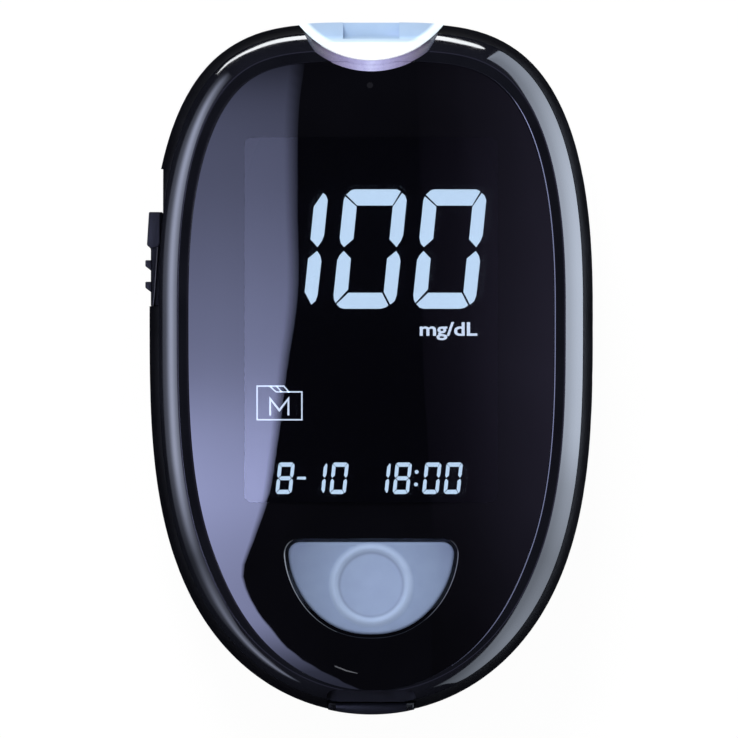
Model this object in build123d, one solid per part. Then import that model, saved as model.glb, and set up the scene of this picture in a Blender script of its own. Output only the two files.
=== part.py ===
from build123d import *
import os
from math import asin, cos, degrees, hypot, pi, sin

# Blood glucose meter lying on its back, in millimetres.
# X runs across, Y from the data port to the strip port, and Z out of the face.
# The origin is the centre of the flat back.

# ---- Case outline: an egg of two superellipse halves that meet at the widest line ----
egg_half_width = 30.87
egg_widest_y = 7.63
egg_top_y = 48.0
egg_bottom_y = -48.145
egg_top_powers = (3.69, 2.47)
egg_bottom_powers = (2.0, 3.14)
outline_points = 40

# ---- Case section: insets are measured in from the egg ----
wall = 1.8
skin = 0.2  # how far inside the outer skin an inner rib stops
back_flat_inset = 9.0
belly_z = 11.5
shoulder_inset = 1.4
shoulder_reach = 2.8
parting_z = 15.6
bezel_inset = 4.1
bezel_round = 0.25
bezel_crown = 0.12
lens_inset = 5.5
crown_z = 25.8
dome_drop = 1.7
lens_proud = 0.15
lens_edge_thickness = 1.65
print_thickness = 0.15
lens_floor_thickness = 1.3
lens_edge_z = crown_z - dome_drop
rim_z = lens_edge_z - lens_proud
lens_bottom_z = lens_edge_z - lens_edge_thickness
seat_z = lens_bottom_z - print_thickness
floor_z = seat_z - lens_floor_thickness
bezel_drop = 2.25
skirt_z = rim_z - bezel_drop

# ---- Clearances ----
fit_gap = 0.1
slide_gap = 0.15
pin_gap = 0.05
over = 1.0  # how far a cutting tool runs past the face it cuts

# ---- Battery bay: two AAA cells side by side under a hinged door ----
cell_radius = 5.25
cell_length = 44.5
cell_nipple_radius = 1.9
cell_nipple_length = 0.9
cell_gap = 0.25
contact_thickness = 0.4
contact_size = 7.4
contact_tail_width = 2.0
contact_spring_length = 3.2
contact_spring_radius = 2.4
contact_spring_wire = 0.25
contact_spring_turns = 3
bay_centre_y = -5.0
bay_wall = 1.6
bay_ceiling = 0.9
door_thickness = 1.5
door_lip = 1.0
door_corner = 1.5
door_ledge = 1.2
door_ledge_width = 1.5
door_hook_width = 1.8
door_hook_thickness = 0.8
door_hook_reach = 1.4
door_latch_width = 7.0
door_latch_height = 1.3
door_latch_thickness = 0.9
door_grip_radius = 0.35
door_grip_length = 12.0
door_grip_pitch = 1.8
door_grip_count = 4
bay_half_width = 2 * cell_radius + 1.5 * cell_gap
bay_length = cell_length + contact_spring_length + 2 * contact_thickness
bay_low_y = bay_centre_y - bay_length / 2
bay_high_y = bay_centre_y + bay_length / 2
cell_x = cell_radius + cell_gap / 2
cell_z = door_thickness + cell_gap + cell_radius
bay_ceiling_z = cell_z + cell_radius + cell_gap
door_half_width = bay_half_width + door_lip
door_low_y = bay_low_y - door_lip
door_high_y = bay_high_y + door_lip
door_axis_y = door_high_y - door_thickness / 2
door_axis_z = door_thickness / 2

# ---- Main board ----
board_gap = 1.0
board_thickness = 1.2
board_inset = 4.4
board_z = bay_ceiling_z + bay_ceiling + board_gap
board_top_z = board_z + board_thickness

# ---- Display ----
window_width = 35.1
window_length = 50.6
window_y = 6.68
window_corner = 0.6
glass_margin_side = 1.05
glass_margin_top = 1.0
glass_margin_bottom = 2.4
aperture_margin = 0.45
glass_thickness = 1.6
backlight_thickness = 1.8
frame_wall = 0.9
frame_ledge = 1.0
frame_ledge_thickness = 0.4
rubber_strip_length = 30.0
rubber_strip_width = 1.6
glass_top_z = floor_z - fit_gap
glass_z = glass_top_z - glass_thickness
backlight_z = glass_z - backlight_thickness
glass_half_width = window_width / 2 + glass_margin_side
glass_high_y = window_y + window_length / 2 + glass_margin_top
glass_low_y = window_y - window_length / 2 - glass_margin_bottom

# ---- Main button: a half moon with a raised ring ----
button_half_width = 11.5
button_reach = 11.2
button_powers = (2.25, 1.7)
button_chord_y = -24.1
button_corner = 1.65
button_gap = 0.45
button_points = 18
button_press_y = -30.05
button_top_z = 25.1
button_ring_radius = 5.25
button_ring_wire = 0.75
button_ring_rise = 0.3
button_flange = 0.9
button_flange_thickness = 0.8
button_stem_radius = 2.5
button_travel = 0.6
switch_size = 6.2
switch_height = 2.9
switch_floor = 1.0
plunger_radius = 1.65
plunger_rise = 0.7
button_arc_y = button_chord_y - button_corner

# ---- Strip port: a scoop in the top end, filled by a light guide ----
scoop_radius = 12.84
scoop_centre_rise = 5.9  # beyond the top end of the egg
scoop_lean = 1.6
guide_top_z = 21.2
guide_lip_z = 19.8
guide_lip_depth = 2.3  # in from the top end of the egg
guide_overhang_gap = 0.1
guide_flange = 0.8
guide_flange_thickness = 1.2
strip_channel_width = 7.8
strip_channel_z = 17.45
strip_slot_height = 0.7
connector_half_width = 5.6
connector_height = 3.4
connector_length = 9.8
connector_setback = 0.5
pusher_slot_half_width = 2.0
strip_blade_x = (-3.3, -2.4, 2.4, 3.3)
strip_blade_width = 0.4
strip_blade_thickness = 0.3
strip_blade_length = 6.5
strip_blade_tail = 0.5
port_led_x = 7.0
port_led_depth = 5.6
port_led_size = (1.6, 0.9, 0.7)
scoop_centre_y = egg_top_y + scoop_centre_rise
guide_lip_y = egg_top_y - guide_lip_depth
connector_high_y = guide_lip_y - connector_setback
connector_low_y = connector_high_y - connector_length
port_led_y = egg_top_y - port_led_depth

# ---- Strip ejector: a thumb slider on the left side ----
recess_depth = 1.92  # in from the widest point of the egg
recess_low_y = 8.6
recess_high_y = 27.7
recess_low_z = 4.6
knob_length = 12.9
knob_low_z = 5.2
knob_high_z = 14.9
knob_plate_depth = 0.17
knob_block_proud = 0.28
knob_rib_proud = 0.73
knob_inner_gap = 0.55
knob_taper = 0.6
knob_block_length = 4.6
knob_rib_y = (11.1, 14.7)
knob_rib_width = 1.3
knob_corner = 0.3
neck_half_height = 1.0
neck_length = 6.0
neck_depth = 5.0
ejector_travel = 5.5
sled_gap = 0.25
sled_width = 5.4
sled_length = 10.0
sled_half_height = 2.0
ejector_z = 10.5
arm_width = 2.3
arm_half_height = 1.0
cross_y = 27.6
cross_width = 2.0
pusher_half_width = 1.6
pusher_thickness = 1.6
return_spring_radius = 1.1
return_spring_wire = 0.2
return_spring_turns = 8
return_spring_length = 10.0
rail_width = 1.0
rail_lanes = (2.6, 4.7)  # in from the outer side of the sled
recess_pad = 1.8
recess_bottom_gap = 0.2
recess_face_x = recess_depth - egg_half_width
knob_plate_x = knob_plate_depth - egg_half_width
knob_block_x = -egg_half_width - knob_block_proud
knob_rib_x = -egg_half_width - knob_rib_proud
knob_inner_x = recess_face_x - knob_inner_gap
sled_low_x = recess_face_x + recess_pad + sled_gap
sled_high_x = sled_low_x + sled_width
pusher_y = glass_high_y + fit_gap + frame_wall + slide_gap
knob_low_y = recess_low_y + recess_bottom_gap
knob_high_y = knob_low_y + knob_length
neck_low_y = knob_low_y + (knob_length - neck_length) / 2
sled_low_y = neck_low_y - (sled_length - neck_length) / 2
sled_high_y = sled_low_y + sled_length
spring_x = sled_low_x + return_spring_radius + return_spring_wire + fit_gap
spring_fixed_y = sled_high_y + return_spring_length

# ---- Data port and its flap at the bottom end ----
flap_half_width = 6.0
flap_thickness = 1.695
flap_top_z = 19.3
flap_axis_setback = 0.05
flap_axis_z = 12.9
flap_barrel_radius = 0.65
flap_pin_radius = 0.4
flap_pin_length = 0.8
flap_swing_gap = 0.25
flap_lip_round = 0.5
flap_shelf_depth = 1.95
port_wall_half_width = 7.5
port_wall_thickness = 2.15
port_wall_upper_thickness = 3.25
port_wall_low_z = 9.5
socket_half_width = 3.9
socket_height = 2.7
socket_setback = 1.05
socket_length = 5.2
socket_shell = 0.4
tongue_half_width = 2.6
tongue_thickness = 0.5
tongue_setback = 0.9
flap_swing_radius = flap_thickness + flap_axis_setback + flap_swing_gap
flap_face_y = egg_bottom_y + flap_thickness
flap_axis_y = flap_face_y + flap_axis_setback
flap_shelf_y = flap_face_y + flap_shelf_depth
port_wall_inner_y = flap_face_y + port_wall_thickness
port_wall_upper_y = flap_face_y + port_wall_upper_thickness
socket_low_y = flap_face_y + socket_setback
socket_high_y = socket_low_y + socket_length

# ---- Screws and the bosses that hold them ----
case_screw_top = (14.0, 38.5)
case_screw_bottom = (16.2, -26.5)
case_screw_seat_z = 6.0
case_screw_length = 12.0
case_screw_radius = 1.0
case_head_radius = 1.9
case_head_height = 1.4
back_boss_radius = 3.2
front_boss_radius = 2.2
board_screw_edge = 8.87  # in from the widest point of the egg
board_screw_y = (12.0, -14.0)
board_screw_radius = 0.8
board_screw_length = 3.4
board_head_radius = 1.8
board_head_height = 1.1
board_boss_radius = 2.0
driver_slot = 0.5

# ---- Electronics on the board ----
processor_size = (10.0, 10.0, 1.2)
processor_place = (0.0, 2.0)
processor_leads = 8
measuring_size = (5.0, 5.0, 1.0)
measuring_place = (6.0, 27.0)
measuring_leads = 4
crystal_radius = 1.0
crystal_length = 6.0
crystal_place = (7.67 - egg_half_width, -4.0)
buzzer_radius = 4.2
buzzer_height = 2.4
buzzer_place = (egg_half_width - 13.27, -3.0)
sound_hole_radius = 0.6
sound_hole_pitch = 2.2
component_size = (2.0, 1.2, 0.6)
component_rows = 6
component_pitch = 2.4
component_start = (egg_half_width - 7.47, -9.0)

# ---- Clock-setting button on the back ----
set_place = (egg_half_width - 13.37, 8.0)
set_cap_radius = 2.0
set_cap_recess = 0.4
set_flange = 0.6
set_flange_thickness = 0.8
set_stem_radius = 1.2
set_travel = 0.3
set_switch_size = 4.5
set_switch_height = 2.15
set_stem_gap = 0.05

both_sides = (-1, 1)


def egg_halves(y):
    """Reach and powers of the half of the egg that holds the height y."""
    if y >= egg_widest_y:
        return egg_top_y - egg_widest_y, egg_top_powers
    return egg_widest_y - egg_bottom_y, egg_bottom_powers


def egg_excess(x, y):
    """Below 0 inside the egg, above 0 outside it."""
    reach, (across, along) = egg_halves(y)
    return (abs(x) / egg_half_width) ** across + (abs(y - egg_widest_y) / reach) ** along - 1


def egg_point(angle, inset):
    """The egg's point at an angle from +X, moved in along the egg's own normal."""
    near, far = 0.0, egg_top_y - egg_bottom_y
    for _ in range(50):
        middle = (near + far) / 2
        if egg_excess(middle * cos(angle), egg_widest_y + middle * sin(angle)) > 0:
            far = middle
        else:
            near = middle
    x, rise = near * cos(angle), near * sin(angle)
    reach, (across, along) = egg_halves(egg_widest_y + rise)
    slope_x = across * (abs(x) / egg_half_width) ** (across - 1) / egg_half_width
    slope_y = along * (abs(rise) / reach) ** (along - 1) / reach
    length = hypot(slope_x, slope_y)
    side = 1 if x >= 0 else -1
    end = 1 if rise >= 0 else -1
    return x - side * inset * slope_x / length, egg_widest_y + rise - end * inset * slope_y / length


def egg_face(inset, z):
    turns = [2 * pi * (i + 0.5) / outline_points for i in range(outline_points)]
    points = [(*egg_point(turn, inset), z) for turn in turns]
    return Face(Wire([Spline(*points, periodic=True)]))


def egg_prism(inset, low_z, high_z):
    return extrude(egg_face(inset, low_z), high_z - low_z, dir=(0, 0, 1))


def egg_loft(profile):
    return loft([egg_face(inset, z) for inset, z in profile])


def box(low, high):
    size = [b - a for a, b in zip(low, high)]
    centre = [(a + b) / 2 for a, b in zip(low, high)]
    return Pos(*centre) * Box(*size)


def post(x, y, low_z, high_z, radius):
    return Pos(x, y, (low_z + high_z) / 2) * Cylinder(radius, high_z - low_z)


def bar_x(low_x, high_x, y, z, radius):
    return Pos((low_x + high_x) / 2, y, z) * Rot(0, 90, 0) * Cylinder(radius, high_x - low_x)


def bar_y(x, low_y, high_y, z, radius):
    return Pos(x, (low_y + high_y) / 2, z) * Rot(90, 0, 0) * Cylinder(radius, high_y - low_y)


def coil_y(x, low_y, high_y, z, radius, wire, turns):
    """A wire coil along Y that just fits between two faces."""
    run = high_y - low_y - 2 * wire
    path = Helix(run / turns, run, radius)
    section = Plane(path @ 0, z_dir=path % 0) * Circle(wire)
    return Pos(x, high_y - wire, z) * Rot(90, 0, 0) * sweep(section, path, is_frenet=True)


def quarter(steps):
    return [i / steps * pi / 2 for i in range(steps + 1)]


def case_screw_spots():
    return [(side * x, y) for x, y in (case_screw_top, case_screw_bottom) for side in both_sides]


def board_screw_places():
    x = egg_half_width - board_screw_edge
    return [(side * x, y) for y in board_screw_y for side in both_sides]


def shoulder_profile(inset_more):
    """From the belly up to the parting line, curving in by the shoulder inset."""
    last = asin((1 - (1 - shoulder_inset / shoulder_reach) ** 2) ** 0.5)
    rise = (parting_z - belly_z) / sin(last)
    turns = [last * i / 2 for i in (1, 2)]
    return [
        (inset_more + shoulder_reach * (1 - cos(turn)), belly_z + rise * sin(turn)) for turn in turns
    ]


def bowl_profile(thickness):
    """From the flat back up to the belly, on an ellipse that is the wall inside the outer one."""
    return [
        (
            back_flat_inset - (back_flat_inset - thickness) * sin(turn),
            belly_z - (belly_z - thickness) * cos(turn),
        )
        for turn in quarter(4)
    ]


def bezel_profile():
    """Inset and height of the upright skirt, the crowned slope over it and its two rounded edges."""
    run = bezel_inset - shoulder_inset
    slope = bezel_drop / run
    mid = (shoulder_inset + run / 2, skirt_z + bezel_drop / 2 + bezel_crown)
    return [
        (shoulder_inset, parting_z),
        (shoulder_inset, skirt_z - bezel_round),
        (shoulder_inset + bezel_round, skirt_z + bezel_round * slope),
        mid,
        (bezel_inset - bezel_round, rim_z - bezel_round * slope / 2),
        (bezel_inset, rim_z),
    ]


def bezel_solid():
    return loft([egg_face(inset, z) for inset, z in bezel_profile()], ruled=True)


def bezel_cavity():
    return egg_prism(shoulder_inset + wall, parting_z - over, floor_z)


def dome():
    """Everything under the lens's doubly curved top."""
    across = -egg_point(pi, lens_inset)[0]
    along = egg_point(pi / 2, lens_inset)[1]
    radius_across = (across**2 + dome_drop**2) / (2 * dome_drop)
    radius_along = (along**2 + dome_drop**2) / (2 * dome_drop)
    depth = crown_z - parting_z
    half = egg_half_width
    arc_low = crown_z - radius_across + (radius_across**2 - half**2) ** 0.5
    top = ThreePointArc((-half, 0, arc_low), (0, 0, crown_z), (half, 0, arc_low))
    corners = [(-half, 0, arc_low), (-half, 0, crown_z - depth)]
    corners += [(half, 0, crown_z - depth), (half, 0, arc_low)]
    section = make_face([top, Polyline(*corners)])
    axis = Axis((0, 0, crown_z - radius_along), (1, 0, 0))
    swing = degrees(asin((egg_top_y + over) / (radius_along - depth)))
    return revolve(section.rotate(axis, -swing), axis, 2 * swing)


def scoop(radius_more):
    """The leaning round bite at the top end, and the straight bite below it."""
    ring = Circle(scoop_radius + radius_more)
    foot = scoop_centre_y + scoop_lean
    lean_rise = crown_z - guide_top_z
    leaning = extrude(Pos(0, foot, guide_top_z) * ring, hypot(lean_rise, scoop_lean),
                      dir=(0, -scoop_lean, lean_rise))
    return leaning + extrude(Pos(0, foot, parting_z - over) * ring, guide_top_z - parting_z + over)


def button_outline(more):
    """Half moon: a chord with round corners over a superellipse, grown outwards by a margin."""
    across, along = button_powers
    points = []
    for i in range(button_points + 1):
        turn = pi * i / button_points
        side = 1 if i < button_points / 2 else -1
        x = button_half_width * abs(cos(turn)) ** (2 / across)
        drop = button_reach * sin(turn) ** (2 / along)
        slope_x = across * (x / button_half_width) ** (across - 1) / button_half_width
        slope_y = along * (drop / button_reach) ** (along - 1) / button_reach
        length = hypot(slope_x, slope_y)
        points.append((side * (x + more * slope_x / length),
                       button_arc_y - drop - more * slope_y / length))
    radius = button_corner + more
    arcs = [
        JernArc(points[0], (0, 1), radius, 90),
        JernArc(points[-1], (0, 1), radius, -90),
    ]
    belly = Spline(*points, tangents=((0, -1), (0, 1)))
    return make_face([belly, *arcs, Line(arcs[0] @ 1, arcs[1] @ 1)])


def button_prism(more, low_z, high_z):
    return extrude(Pos(0, 0, low_z) * button_outline(more), high_z - low_z)


def knob_recess():
    return box((-egg_half_width - over, recess_low_y, recess_low_z),
               (recess_face_x, recess_high_y, parting_z + over))


def flap_recess():
    """Room for the flap's plate, its barrel, its swing and the shelf above it."""
    half = flap_half_width + slide_gap
    low_y = egg_bottom_y - over
    plate = box((-half, low_y, flap_axis_z), (half, flap_face_y + slide_gap, rim_z + over))
    shelf = box((-half, low_y, flap_top_z + fit_gap), (half, flap_shelf_y, rim_z + over))
    swing = box((-half, low_y, flap_axis_z - flap_swing_radius), (half, flap_axis_y, flap_axis_z))
    barrel = bar_x(-half, half, flap_axis_y, flap_axis_z, flap_barrel_radius + fit_gap)
    pins = bar_x(-half - flap_pin_length, half + flap_pin_length, flap_axis_y, flap_axis_z,
                 flap_pin_radius + pin_gap)
    return plate + shelf + swing + barrel + pins


def battery_bay():
    """Outer block of the bay with the ledge that the door shuts against."""
    half = bay_half_width + bay_wall
    block = box((-half, bay_low_y - bay_wall, door_thickness),
                (half, bay_high_y + bay_wall, bay_ceiling_z + bay_ceiling))
    reach = door_lip + door_ledge_width
    ledge = box((-bay_half_width - reach, bay_low_y - reach, door_thickness),
                (bay_half_width + reach, bay_high_y + reach, wall + door_ledge))
    return block + ledge


def door_opening():
    inside = box((-bay_half_width, bay_low_y, -over), (bay_half_width, bay_high_y, bay_ceiling_z))
    seat = box((-door_half_width - slide_gap, door_low_y - slide_gap, -over),
               (door_half_width + slide_gap, door_high_y + slide_gap, door_thickness))
    sweep_radius = hypot(door_thickness / 2 + door_hook_reach + slide_gap,
                         door_thickness / 2 + slide_gap + door_hook_thickness + fit_gap) + slide_gap
    pockets = [
        box((x - door_hook_width / 2 - slide_gap, door_axis_y - sweep_radius, door_thickness - fit_gap),
            (x + door_hook_width / 2 + slide_gap, door_axis_y + sweep_radius,
             door_axis_z + sweep_radius))
        for x in door_hook_spots()
    ]
    return [inside, seat, *pockets]


def door_hook_spots():
    x = bay_half_width - door_hook_width / 2
    return [side * x for side in both_sides]


def contact_tail_cuts():
    """Slots in the bay ceiling for the tails of the two separate contacts."""
    half = contact_tail_width / 2 + fit_gap
    return [
        box((side * cell_x - half, bay_high_y - contact_thickness - fit_gap, bay_ceiling_z - over),
            (side * cell_x + half, bay_high_y + fit_gap, board_z))
        for side in both_sides
    ]


def sound_holes():
    x, y = buzzer_place
    spots = [(x, y)] + [
        (x + sound_hole_pitch * cos(i * pi / 3), y + sound_hole_pitch * sin(i * pi / 3))
        for i in range(6)
    ]
    return [post(a, b, -over, wall + over, sound_hole_radius) for a, b in spots]


def slider_supports():
    """Rails under the sled, the wall behind the knob and the post for the return spring."""
    rail_top = ejector_z - sled_half_height - fit_gap
    supports = [
        box((sled_low_x + lane - rail_width / 2, sled_low_y, wall - fit_gap),
            (sled_low_x + lane + rail_width / 2, sled_high_y + ejector_travel, rail_top))
        for lane in rail_lanes
    ]
    supports.append(box(
        (recess_face_x + recess_pad - fit_gap, spring_fixed_y, ejector_z - sled_half_height),
        (spring_x + return_spring_radius + return_spring_wire, spring_fixed_y + wall,
         ejector_z + sled_half_height)))
    pad = box((-egg_half_width, recess_low_y - wall, recess_low_z + wall),
              (recess_face_x + recess_pad, recess_high_y, parting_z))
    supports.append(pad & inside_shoulder())
    return supports


def inside_shoulder():
    """Upright prism that stays just inside the outer skin at the parting line."""
    return egg_prism(shoulder_inset + skin, recess_low_z, parting_z)


def port_wall_below():
    wall_block = box((-port_wall_half_width, egg_bottom_y, port_wall_low_z),
                     (port_wall_half_width, port_wall_inner_y, parting_z))
    return wall_block & inside_shoulder()


def port_wall_above():
    """Wall round the data socket, and the shelf over it that closes the bezel."""
    half = port_wall_half_width
    shelf_z = socket_top_z() + 3 * fit_gap
    top_z = floor_z + fit_gap
    block = box((-half, egg_bottom_y, parting_z), (half, port_wall_inner_y, shelf_z))
    block += box((-half, egg_bottom_y, shelf_z), (half, port_wall_upper_y, top_z))
    return block & egg_prism(shoulder_inset + skin, parting_z, top_z)


def set_button_guide():
    x, y = set_place
    return post(x, y, wall - fit_gap, ejector_z, set_cap_radius + set_flange + wall)


def back_cover_cuts():
    low_z, high_z = ejector_z - neck_half_height, ejector_z + neck_half_height
    neck_high_y = neck_low_y + neck_length + ejector_travel
    neck_slot = box((recess_face_x - over, neck_low_y - slide_gap, low_z - fit_gap),
                    (recess_face_x + recess_pad + over, neck_high_y + slide_gap, high_z + fit_gap))
    cuts = [*door_opening(), *contact_tail_cuts(), knob_recess(), neck_slot, flap_recess()]
    cuts += sound_holes()
    for x, y in case_screw_spots():
        cuts.append(post(x, y, -over, case_screw_seat_z, case_head_radius + 2 * fit_gap))
        cuts.append(post(x, y, case_screw_seat_z - over, board_z, case_screw_radius + slide_gap))
    x, y = set_place
    cuts.append(post(x, y, -over, board_z, set_cap_radius + fit_gap))
    cuts.append(post(x, y, wall, board_z, set_cap_radius + set_flange + fit_gap))
    return cuts


def back_cover():
    outer = egg_loft(bowl_profile(0) + shoulder_profile(0))
    rim = (shoulder_inset + wall, parting_z + over)
    inner = egg_loft(bowl_profile(wall) + shoulder_profile(wall) + [rim])
    adds = [battery_bay(), port_wall_below(), set_button_guide(), *slider_supports()]
    for x, y in case_screw_spots():
        adds.append(post(x, y, wall - fit_gap, board_z - 2 * slide_gap, back_boss_radius))
    return outer - inner + adds - back_cover_cuts()


def front_cover_cuts():
    low_z, high_z = floor_z - over, rim_z + over
    half = socket_half_width + slide_gap
    mouth = box((-half, egg_bottom_y, parting_z - over),
                (half, port_wall_inner_y + over, socket_top_z() + slide_gap))
    cuts = [egg_prism(lens_inset, seat_z, high_z), window_box(aperture_margin, low_z, high_z)]
    cuts += [button_prism(button_gap, low_z, high_z), scoop(0), flap_recess(), mouth]
    for x, y in case_screw_spots():
        cuts.append(post(x, y, board_z - over, case_screw_end_z() + slide_gap, case_screw_radius))
    for x, y in board_screw_places():
        cuts.append(post(x, y, board_z, board_screw_end_z() + slide_gap, board_screw_radius))
    return cuts


def front_cover():
    adds = [port_wall_above()]
    for x, y in case_screw_spots():
        adds.append(post(x, y, board_z - slide_gap, floor_z + fit_gap, front_boss_radius))
    for x, y in board_screw_places():
        adds.append(post(x, y, board_top_z, floor_z + fit_gap, board_boss_radius))
    return bezel_solid() - bezel_cavity() + adds - front_cover_cuts()


def socket_top_z():
    return board_top_z + socket_height


def case_screw_end_z():
    return case_screw_seat_z + case_screw_length


def board_screw_end_z():
    return board_z + board_screw_length + board_thickness


def window_box(margin, low_z, high_z):
    """Upright prism of the display window, grown by a margin."""
    outline = RectangleRounded(window_width + 2 * margin, window_length + 2 * margin,
                               window_corner)
    return extrude(Pos(0, window_y, low_z) * outline, high_z - low_z)


def display_lens():
    lens = egg_prism(lens_inset + fit_gap, lens_bottom_z, crown_z + over) & dome()
    return lens - [button_prism(button_gap, lens_bottom_z - over, crown_z + over), scoop(fit_gap)]


def lens_mask():
    mask = egg_prism(lens_inset + fit_gap, seat_z, lens_bottom_z)
    return mask - [window_box(0, seat_z - over, crown_z), scoop(fit_gap),
                   button_prism(button_gap, seat_z - over, crown_z)]


def lcd_glass():
    return box((-glass_half_width, glass_low_y, glass_z),
               (glass_half_width, glass_high_y, glass_top_z))


def rubber_strip_span():
    low = glass_low_y + fit_gap
    return low, low + rubber_strip_width


def lcd_connector():
    low, high = rubber_strip_span()
    half = rubber_strip_length / 2
    return box((-half, low, board_top_z), (half, high, glass_z))


def lcd_backlight():
    low_y = rubber_strip_span()[1] + fit_gap
    return box((-glass_half_width, low_y, backlight_z), (glass_half_width, glass_high_y, glass_z))


def lcd_frame():
    half = glass_half_width + fit_gap
    low, high = glass_low_y - fit_gap, glass_high_y + fit_gap
    ledge_z = backlight_z - frame_ledge_thickness
    frame = box((-half - frame_wall, low - frame_wall, board_top_z),
                (half + frame_wall, high + frame_wall, glass_top_z))
    frame -= box((-half, low, backlight_z), (half, high, floor_z))
    frame -= box((-half + frame_ledge, low + frame_ledge, ledge_z - over),
                 (half - frame_ledge, high - frame_ledge, floor_z))
    frame -= box((-half, low, board_top_z - over), (half, high, ledge_z))
    strip_low, strip_high = rubber_strip_span()
    reach = rubber_strip_length / 2 + fit_gap
    return frame - box((-reach, low, board_top_z), (reach, strip_high + fit_gap, floor_z))


def main_board():
    board = egg_prism(board_inset, board_z, board_top_z)
    for x, y in case_screw_spots():
        board -= post(x, y, board_z - over, board_top_z + over, front_boss_radius + fit_gap)
    for x, y in board_screw_places():
        board -= post(x, y, board_z - over, board_top_z + over, board_screw_radius + fit_gap)
    half = pusher_slot_half_width
    return board - box((-half, pusher_y - fit_gap, board_z - over),
                       (half, pusher_y + pusher_thickness + ejector_travel + fit_gap,
                        board_top_z + over))


def chip(size, place, leads):
    """A flat package with a row of leads down each of two sides."""
    width, length, height = size
    x, y = place
    lead = length / (2 * leads)
    body = box((x - width / 2, y - length / 2, board_top_z + fit_gap),
               (x + width / 2, y + length / 2, board_top_z + height))
    for i in range(leads):
        low = y - length / 2 + lead * (2 * i + 0.5)
        body += box((x - width / 2 - lead, low, board_top_z),
                    (x + width / 2 + lead, low + lead, board_top_z + height / 2))
    return body


def board_components():
    width, length, height = component_size
    x, y = component_start
    parts = []
    for side in both_sides:
        for i in range(component_rows):
            low = y + i * component_pitch
            if side > 0 or low > crystal_place[1] + crystal_length:
                parts.append(box((side * x - width / 2, low, board_top_z),
                                 (side * x + width / 2, low + length, board_top_z + height)))
    return parts


def clock_crystal():
    x, y = crystal_place
    can = bar_y(x, y - crystal_length / 2, y + crystal_length / 2, board_top_z + crystal_radius,
                crystal_radius)
    foot = box((x - crystal_radius / 2, y - crystal_length / 2 - over, board_top_z),
               (x + crystal_radius / 2, y, board_top_z + crystal_radius / 2))
    return can + foot


def buzzer():
    x, y = buzzer_place
    can = post(x, y, board_z - buzzer_height, board_z, buzzer_radius)
    return can - post(x, y, board_z - buzzer_height - over, board_z - buzzer_height / 2,
                      buzzer_radius / 4)


def main_switch():
    half = switch_size / 2
    top = board_top_z + switch_height
    body = box((-half, button_press_y - half, board_top_z), (half, button_press_y + half, top))
    return body - post(0, button_press_y, board_top_z + switch_floor, top + over,
                       plunger_radius + fit_gap)


def plunger_top_z():
    return board_top_z + switch_height + plunger_rise


def switch_plunger():
    low = board_top_z + switch_floor + button_travel + fit_gap
    return post(0, button_press_y, low, plunger_top_z(), plunger_radius)


def main_button():
    top = button_prism(0, floor_z - fit_gap - button_flange_thickness, button_top_z)
    flange_top = floor_z - fit_gap
    flange = button_prism(button_flange, flange_top - button_flange_thickness, flange_top)
    stem = post(0, button_press_y, plunger_top_z(), flange_top, button_stem_radius)
    ring = Pos(0, button_press_y, button_top_z + button_ring_rise - button_ring_wire) * Torus(
        button_ring_radius, button_ring_wire)
    return top + flange + stem + ring


def port_light_guide():
    foot_y = scoop_centre_y + scoop_lean
    low_z = parting_z + guide_overhang_gap
    plug = extrude(Pos(0, foot_y, low_z) * Circle(scoop_radius - fit_gap), guide_top_z - low_z)
    flange_z = floor_z - fit_gap - guide_flange_thickness
    flange = extrude(Pos(0, foot_y, flange_z) * Circle(scoop_radius + guide_flange),
                     guide_flange_thickness)
    flange &= bezel_cavity()
    guide = (plug & egg_prism(0, low_z, guide_top_z)) + flange
    half = strip_channel_width / 2
    guide -= box((-scoop_radius, guide_lip_y, guide_lip_z), (scoop_radius, egg_top_y + over, crown_z))
    guide -= box((-half, guide_lip_y, strip_channel_z), (half, egg_top_y + over, crown_z))
    guide -= box((-half, connector_high_y, strip_channel_z),
                 (half, guide_lip_y + over, strip_channel_z + strip_slot_height))
    room = connector_half_width + slide_gap
    return guide - box((-room, connector_low_y, parting_z - over),
                       (room, connector_high_y + fit_gap, board_top_z + connector_height + fit_gap))


def strip_connector():
    half = connector_half_width
    top = board_top_z + connector_height
    body = box((-half, connector_low_y, board_top_z), (half, connector_high_y, top))
    slot_half = strip_channel_width / 2
    body -= box((-slot_half, connector_low_y - over, strip_channel_z),
                (slot_half, connector_high_y + over, strip_channel_z + strip_slot_height))
    push_end = pusher_y + pusher_thickness + ejector_travel + fit_gap
    body -= box((-pusher_slot_half_width, connector_low_y - over, board_top_z - over),
                (pusher_slot_half_width, push_end, strip_channel_z + strip_slot_height))
    for x in strip_blade_x:
        reach = strip_blade_width / 2 + pin_gap
        body -= box((x - reach, connector_low_y - over, strip_channel_z + strip_slot_height / 2),
                    (x + reach, connector_low_y + strip_blade_length + fit_gap,
                     blade_z() + strip_blade_thickness + pin_gap))
    return body


def blade_z():
    return strip_channel_z + strip_slot_height


def strip_contacts():
    """Spring blades in the roof of the slot, with tails down to the board."""
    blades = []
    for x in strip_blade_x:
        half = strip_blade_width / 2
        top = blade_z() + strip_blade_thickness
        blade = box((x - half, connector_low_y - strip_blade_tail, blade_z()),
                    (x + half, connector_low_y + strip_blade_length, top))
        blade += box((x - half, connector_low_y - strip_blade_tail, board_top_z),
                     (x + half, connector_low_y - fit_gap, top))
        blades.append(blade)
    return blades


def port_leds():
    width, length, height = port_led_size
    return [
        box((side * port_led_x - width / 2, port_led_y - length / 2, board_top_z),
            (side * port_led_x + width / 2, port_led_y + length / 2, board_top_z + height))
        for side in both_sides
    ]


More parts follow.
